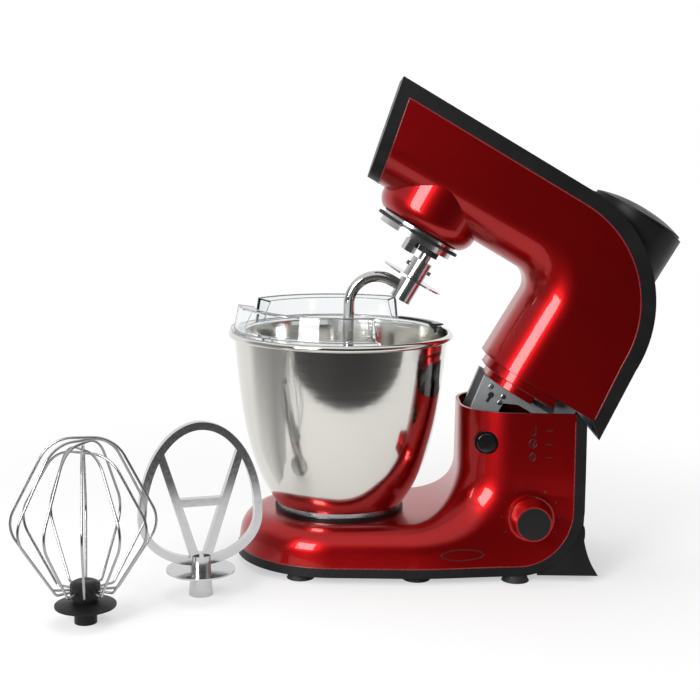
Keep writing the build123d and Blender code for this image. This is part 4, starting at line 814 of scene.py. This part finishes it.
class MIXER_OT_splash_guard(bpy.types.Operator):
    """Make the splash guard clear, with grey strokes of painted reflection along its edges and a
    black end clip
    """

    bl_idname = "mixer.splash_guard"
    bl_label = "Splash guard"

    # Radius of each grey stroke of painted reflection along the guard's edges
    edge: FloatProperty(
        name="Edge", description="Radius of a polished edge", default=0.0004, unit="LENGTH"
    )

    def execute(self, context):
        dress("clear", "splash_guard")
        place(self.clip(), "gloss", "guard")
        # Painted reflection: grey strokes along the guard's edges
        edges = strokes("guard_edge_reflections", self.edges(), self.edge)
        place(edges, "edge", "guard")
        return {"FINISHED"}

    def arc(self, span, reach, height, steps=ARC_STEPS):
        """Points round the bowl's axis"""
        first, last = span
        angles = [radians(first + (last - first) * step / steps) for step in range(steps + 1)]
        return [(reach * cos(angle), reach * sin(angle), height) for angle in angles]

    def edges(self):
        """Lines along the edges of the ring and of both wings"""
        lines = [self.arc(GUARD_SPAN, reach, GUARD_TOP) for reach in (GUARD_OUTSIDE, GUARD_INSIDE)]
        for span in WING_SPANS:
            crest = [self.arc(span, reach, height) for reach, height in WING_EDGE]
            foot = self.arc(span, GUARD_INSIDE, GUARD_TOP)
            lines += crest
            lines += [[line[end] for line in (*crest, foot)] for end in (0, -1)]
        return lines

    def clip(self):
        """A rounded bar on the ring's end, with a tongue that hooks inside the rim"""
        top = GUARD_TOP + CLIP_RISE
        bar = self.bar(CLIP_SPAN, (CLIP_INSIDE, CLIP_OUTSIDE), (GUARD_TOP, top))
        tongue_reach = (CLIP_INSIDE - CLIP_TONGUE_REACH, CLIP_INSIDE)
        tongue = self.bar(CLIP_TONGUE_SPAN, tongue_reach, (GUARD_TOP - CLIP_TONGUE_DROP, top))
        clip = lofted("guard_clip", (bar, tongue))
        rounding = clip.modifiers.new("Rounded edges", "BEVEL")
        rounding.width = CLIP_ROUND
        rounding.segments = CLIP_ROUND_STEPS
        return clip

    def bar(self, span, reaches, heights):
        """Sections of a bar bent round the bowl"""
        (inner, outer), (low, high) = reaches, heights
        corners = ((inner, low), (outer, low), (outer, high), (inner, high))
        return list(zip(*(self.arc(span, reach, height, CLIP_STEPS) for reach, height in corners)))


class MIXER_OT_mixing_hub(bpy.types.Operator):
    """Plate the planetary hub, the tool shaft and the dough hook, and paint shade as dark lines in
    the drip ring's grooves
    """

    bl_idname = "mixer.mixing_hub"
    bl_label = "Hub and dough hook"

    # Radius of each dark line of painted shade in a groove of the drip ring
    groove_shade_radius: FloatProperty(
        name="Seal", description="Radius of a seal ring in a groove", default=0.0007, unit="LENGTH"
    )

    def execute(self, context):
        dress("satin", "drip_ring", "planet_drum", "hub_nut", "tool_shaft", "hook_sleeve")
        dress("chrome", "cross_pin", "hook_disc", "dough_hook")
        dress("rubber", "shaft_seal")
        rings = [self.ring(reach, height) for reach, height in DRIP_GROOVES]
        groove_shade_lines = strokes("drip_ring_groove_shade", rings, self.groove_shade_radius, closed=True)
        # Painted shade: dark lines in the drip ring's grooves
        place(groove_shade_lines, "rubber", "head")
        return {"FINISHED"}

    def ring(self, reach, height):
        """A line round the drip ring"""
        angles = turns(0, 355, step=5)
        return [swing((reach * cos(a), reach * sin(a), height)) for a in angles]


class MIXER_OT_loose_tools(bpy.types.Operator):
    """Finish the whisk and the flat beater"""

    bl_idname = "mixer.loose_tools"
    bl_label = "Whisk and beater"

    def execute(self, context):
        dress("moulding", "whisk_hub")
        dress("wire", "whisk_wires")
        dress("aluminium", "beater_hub", "flat_beater")
        return {"FINISHED"}


class MIXER_OT_hinge(bpy.types.Operator):
    """Finish the head's hinge and set the screws in its bracket and a dark piece of painted shade
    in its keyhole
    """

    bl_idname = "mixer.hinge"
    bl_label = "Hinge"

    screw: FloatProperty(
        name="Screw", description="Radius of a bracket screw", default=0.0026, unit="LENGTH"
    )

    def execute(self, context):
        dress("bracket", "hinge_arm", "hinge_cradle")
        dress("turned", "hinge_pin")
        for index, (x, z) in enumerate(BRACKET_SCREWS):
            place(self.screw_head(f"bracket_screw_{index + 1}", x, z), "turned", "head")
        # Painted shade: a dark piece fills the keyhole
        place(self.keyhole_shade(), "rubber", "head")
        return {"FINISHED"}

    def keyhole_shade(self):
        """A dark piece sunk in the bracket's keyhole: painted shade in the hole"""
        outline = [(KEYHOLE_HALF_SLOT, -KEYHOLE_LENGTH), (-KEYHOLE_HALF_SLOT, -KEYHOLE_LENGTH)]
        for turn in turns(-KEYHOLE_SWEEP, KEYHOLE_SWEEP, step=20):
            outline.append((KEYHOLE_RADIUS * sin(turn), KEYHOLE_RADIUS * cos(turn)))
        sections = []
        for depth in (KEYHOLE_DEPTH, 2 * KEYHOLE_DEPTH):
            y = BRACKET_FACE + depth
            sections.append([swing((KEYHOLE[0] + x, y, KEYHOLE[1] + z)) for x, z in outline])
        return lofted("keyhole_shade", [sections])

    def screw_head(self, name, x, z):
        """A domed screw head with a cross slot, facing the near side"""
        built = bmesh.new()
        bmesh.ops.create_uvsphere(
            built, u_segments=SCREW_ROUND, v_segments=SCREW_DOWN, radius=self.screw
        )
        bmesh.ops.scale(built, vec=(1, SCREW_RISE, 1), verts=built.verts)
        for vertex in built.verts:
            vertex.co.y = min(vertex.co.y, 0)
            across = min(abs(vertex.co.x), abs(vertex.co.z))
            if across < self.screw * SLOT_HALF and vertex.co.y < -self.screw * SLOT_START:
                vertex.co.y += self.screw * SLOT_DEPTH
        bmesh.ops.remove_doubles(built, verts=built.verts, dist=WELD)
        for vertex in built.verts:
            vertex.co = swing(Vector((x, BRACKET_FACE, z)) + vertex.co)
        screw = solid_piece(name, built)
        screw.data.shade_smooth()
        return screw


class MIXER_OT_drive(bpy.types.Operator):
    """Finish the motor, the belt and the gears inside the head"""

    bl_idname = "mixer.drive"
    bl_label = "Drive"

    def execute(self, context):
        dress("nylon", "ring_gear", "planet_gear", "hub_gear", "pinion", "counter_wheel")
        dress("nylon", "motor_wheel", "motor_fan", "port_coupling")
        dress("turned", "hub_shaft", "counter_shaft", "motor_shaft")
        dress("turned", "motor_armature", "motor_stator", "motor_brackets")
        dress("aluminium", "gearbox_frame")
        dress("rubber", "drive_belt")
        dress("copper", "field_coils", "commutator")
        dress("carbon", "carbon_brushes")
        return {"FINISHED"}


class MIXER_OT_seams(bpy.types.Operator):
    """Lay thin beads of painted highlight along the seams between paint and trim and on the neck
    collar's edges, and dark lines of painted shade in the collar's steps
    """

    bl_idname = "mixer.seams"
    bl_label = "Seams"

    def execute(self, context):
        radius = context.scene.mixer_looks.seam
        # Beads of painted highlight along the seams of head and base
        place(strokes("head_seam_highlights", self.head_lines(), radius), "seam", "head")
        place(strokes("base_seam_highlights", self.base_lines(), radius), "seam", "base")
        # Painted shade: dark lines in the collar's concave steps
        shade_lines = [self.neck_line(*row) for row in NECK_SHADE_LINES]
        place(strokes("neck_shade_lines", shade_lines, radius), "mark", "head")
        # Painted highlight: thin light beads on the collar's lower edges
        edges = [self.neck_line(*row) for row in NECK_EDGES]
        place(strokes("neck_edge_highlights", edges, radius / 2), "seam", "head")
        return {"FINISHED"}

    def neck_line(self, inset, height, back):
        """A line round the neck, drawn in by inset"""
        radius = HEAD_ROUND - inset
        x, y = NECK_CENTRE
        near = [(back, -y - radius)]
        near += [(x - radius * sin(turn), -y - radius * cos(turn)) for turn in turns(0, 90, step=5)]
        far = [(px, -py) for px, py in reversed(near)]
        return [swing((px, py, height)) for px, py in near + far]

    def half_width(self, x):
        """Half the head's width at x"""
        share = (x - HEAD_FRONT_TOP) / (HEAD_TAIL - HEAD_FRONT_TOP)
        return HEAD_HALF_FRONT + (HEAD_HALF_REAR - HEAD_HALF_FRONT) * share

    def front_x(self, z):
        """Where the front cap meets the head at a height"""
        share = (z - HEAD_UNDER) / (HEAD_TOP - HEAD_UNDER)
        return HEAD_FRONT_FOOT + (HEAD_FRONT_TOP - HEAD_FRONT_FOOT) * share + CAP_DEPTH

    def head_lines(self):
        """Along the head's top and back on both sides, and down round the front cap"""
        centre = HEAD_TOP - BACK_RADIUS
        inner = BACK_RADIUS - BAND
        top = HEAD_TOP - BAND
        profile = [(self.front_x(top), top)]
        for turn in turns(0, 90, step=3):
            profile.append((BACK_START + inner * sin(turn), centre + inner * cos(turn)))
        profile.append((HEAD_TAIL - BAND, SEAM_FOOT))
        lines = []
        for side in (-1, 1):
            lines.append([swing((x, side * self.half_width(x), z)) for x, z in profile])
        cap = []
        for turn in turns(-90, 90, step=5):
            z = HEAD_UNDER + HEAD_ROUND * (1 - cos(turn))
            flat = self.half_width(self.front_x(z)) - HEAD_ROUND
            side = 1 if turn > 0 else -1
            cap.append((self.front_x(z), side * flat + HEAD_ROUND * sin(turn), z))
        half = self.half_width(self.front_x(top))
        cap = [(self.front_x(top), -half, top)] + cap + [(self.front_x(top), half, top)]
        lines.append([swing(point) for point in cap])
        return lines

    def base_lines(self):
        """Round the base's foot and up the column's back, on both sides"""
        surface = Surface("base_shell")
        height = SHELL_FLOOR + SEAM_SET_IN
        corner_x, corner_z = COLUMN_BACK - CORNER_RADIUS, SHELL_FLOOR + CORNER_RADIUS
        inner = CORNER_RADIUS - SEAM_SET_IN
        edge = [(x, height) for x in run(*FOOT_RUN)]
        for turn in turns(4, 84, step=4):
            edge.append((corner_x + inner * sin(turn), corner_z - inner * cos(turn)))
        edge += [(COLUMN_BACK - SEAM_SET_IN, z) for z in run(*BACK_RUN)]
        near = [surface.at(x, z) for x, z in edge]
        far = [Vector((point.x, -point.y, point.z)) for point in near]
        reach = TONGUE_HALF - SEAM_SET_IN / 4
        nose = []
        for turn in turns(90, 270, step=6):
            nose.append(Vector((TONGUE_ROUND_X + reach * cos(turn), reach * sin(turn), height)))
        return [near, far, nose]


class MIXER_OT_marks(bpy.types.Operator):
    """Print the dial's ticks, the tool signs and a plain oval on the base"""

    bl_idname = "mixer.marks"
    bl_label = "Printed marks"

    ring: FloatProperty(
        name="Ring", description="Radius of the ticks round the dial", default=0.026, unit="LENGTH"
    )
    tick: FloatProperty(name="Tick", description="Length of a tick", default=0.0022, unit="LENGTH")
    sign: FloatProperty(
        name="Sign", description="Half the height of a tool sign", default=0.0050, unit="LENGTH"
    )
    oval: FloatProperty(
        name="Oval", description="Half the length of the bare oval", default=0.020, unit="LENGTH"
    )

    def execute(self, context):
        looks = context.scene.mixer_looks
        self.surface = Surface("base_shell")
        ticks = strokes("dial_ticks", self.ticks(looks.ticks), looks.mark)
        place(ticks, "mark", "base")
        signs = strokes("tool_signs", self.signs(), looks.mark)
        place(signs, "mark", "base")
        oval = strokes("bare_oval", [self.oval_line()], looks.mark, closed=True)
        place(oval, "mark", "base")
        return {"FINISHED"}

    def ticks(self, count):
        """Short lines round the upper side of the dial"""
        x, z = DIAL
        lines = []
        for index in range(count):
            turn = radians(TICK_SWEEP * (2 * index / (count - 1) - 1))
            reaches = (self.ring, self.ring + self.tick)
            lines.append([self.surface.at(x + r * sin(turn), z + r * cos(turn)) for r in reaches])
        return lines

    def signs(self):
        """A hook, a beater and a whisk in outline, each with a short rule beside it"""
        lines = []
        for height, sign in zip(ICON_HEIGHTS, (self.hook(), self.beater(), self.whisk())):
            for line in sign:
                places = [(ICON_X + x * self.sign, height + z * self.sign) for x, z in line]
                lines.append([self.surface.at(x, z) for x, z in places])
            lines.append([self.surface.at(ICON_X + x, height) for x in ICON_RULE])
        return lines

    # Outlines of the signs, in half heights of a sign

    def hook(self):
        bend = [(0.5 * cos(turn), -0.4 - 0.5 * sin(turn)) for turn in turns(0, 180, step=20)]
        return [[(0.5, 0.9)] + bend]

    def beater(self):
        ring = [(0.7 * cos(turn), 0.1 + 0.8 * sin(turn)) for turn in turns(0, 360, step=20)]
        return [ring, [(-0.4, 0.7), (0, -0.7)], [(0.4, 0.7), (0, -0.7)]]

    def whisk(self):
        lines = [[(0, 0.9), (0, -0.7)]]
        angles = turns(0, 180, step=20)
        for side in (-0.6, 0.6):
            lines.append([(side * sin(a), -0.7 + 1.6 * a / pi) for a in angles])
        return lines

    def oval_line(self):
        """Outline of the bare oval"""
        x, z = BADGE
        height = self.oval * BADGE_SLIMNESS
        angles = turns(0, 352, step=8)
        return [self.surface.at(x + self.oval * cos(a), z + height * sin(a)) for a in angles]


class MIXER_PT_looks(bpy.types.Panel):
    """Lists the mixer's colours and the operators that dress it"""

    bl_idname = "MIXER_PT_looks"
    bl_label = "Stand mixer"
    bl_space_type = "VIEW_3D"
    bl_region_type = "UI"
    bl_category = "Mixer"

    def draw(self, context):
        looks = context.scene.mixer_looks
        for name in MixerLooks.__annotations__:
            self.layout.prop(looks, name)
        for operator in OPERATORS:
            self.layout.operator(operator.bl_idname)


OPERATORS = (
    MIXER_OT_stage,
    MIXER_OT_housing,
    MIXER_OT_trim,
    MIXER_OT_controls,
    MIXER_OT_bowl,
    MIXER_OT_splash_guard,
    MIXER_OT_mixing_hub,
    MIXER_OT_loose_tools,
    MIXER_OT_hinge,
    MIXER_OT_drive,
    MIXER_OT_seams,
    MIXER_OT_marks,
)


def register():
    for cls in (MixerLooks, *OPERATORS, MIXER_PT_looks):
        bpy.utils.register_class(cls)
    bpy.types.Scene.mixer_looks = PointerProperty(type=MixerLooks)


def unregister():
    del bpy.types.Scene.mixer_looks
    for cls in (MIXER_PT_looks, *reversed(OPERATORS), MixerLooks):
        bpy.utils.unregister_class(cls)


def main():
    register()
    for operator in OPERATORS:
        group, name = operator.bl_idname.split(".")
        getattr(getattr(bpy.ops, group), name)()


if __name__ == "__main__":
    main()
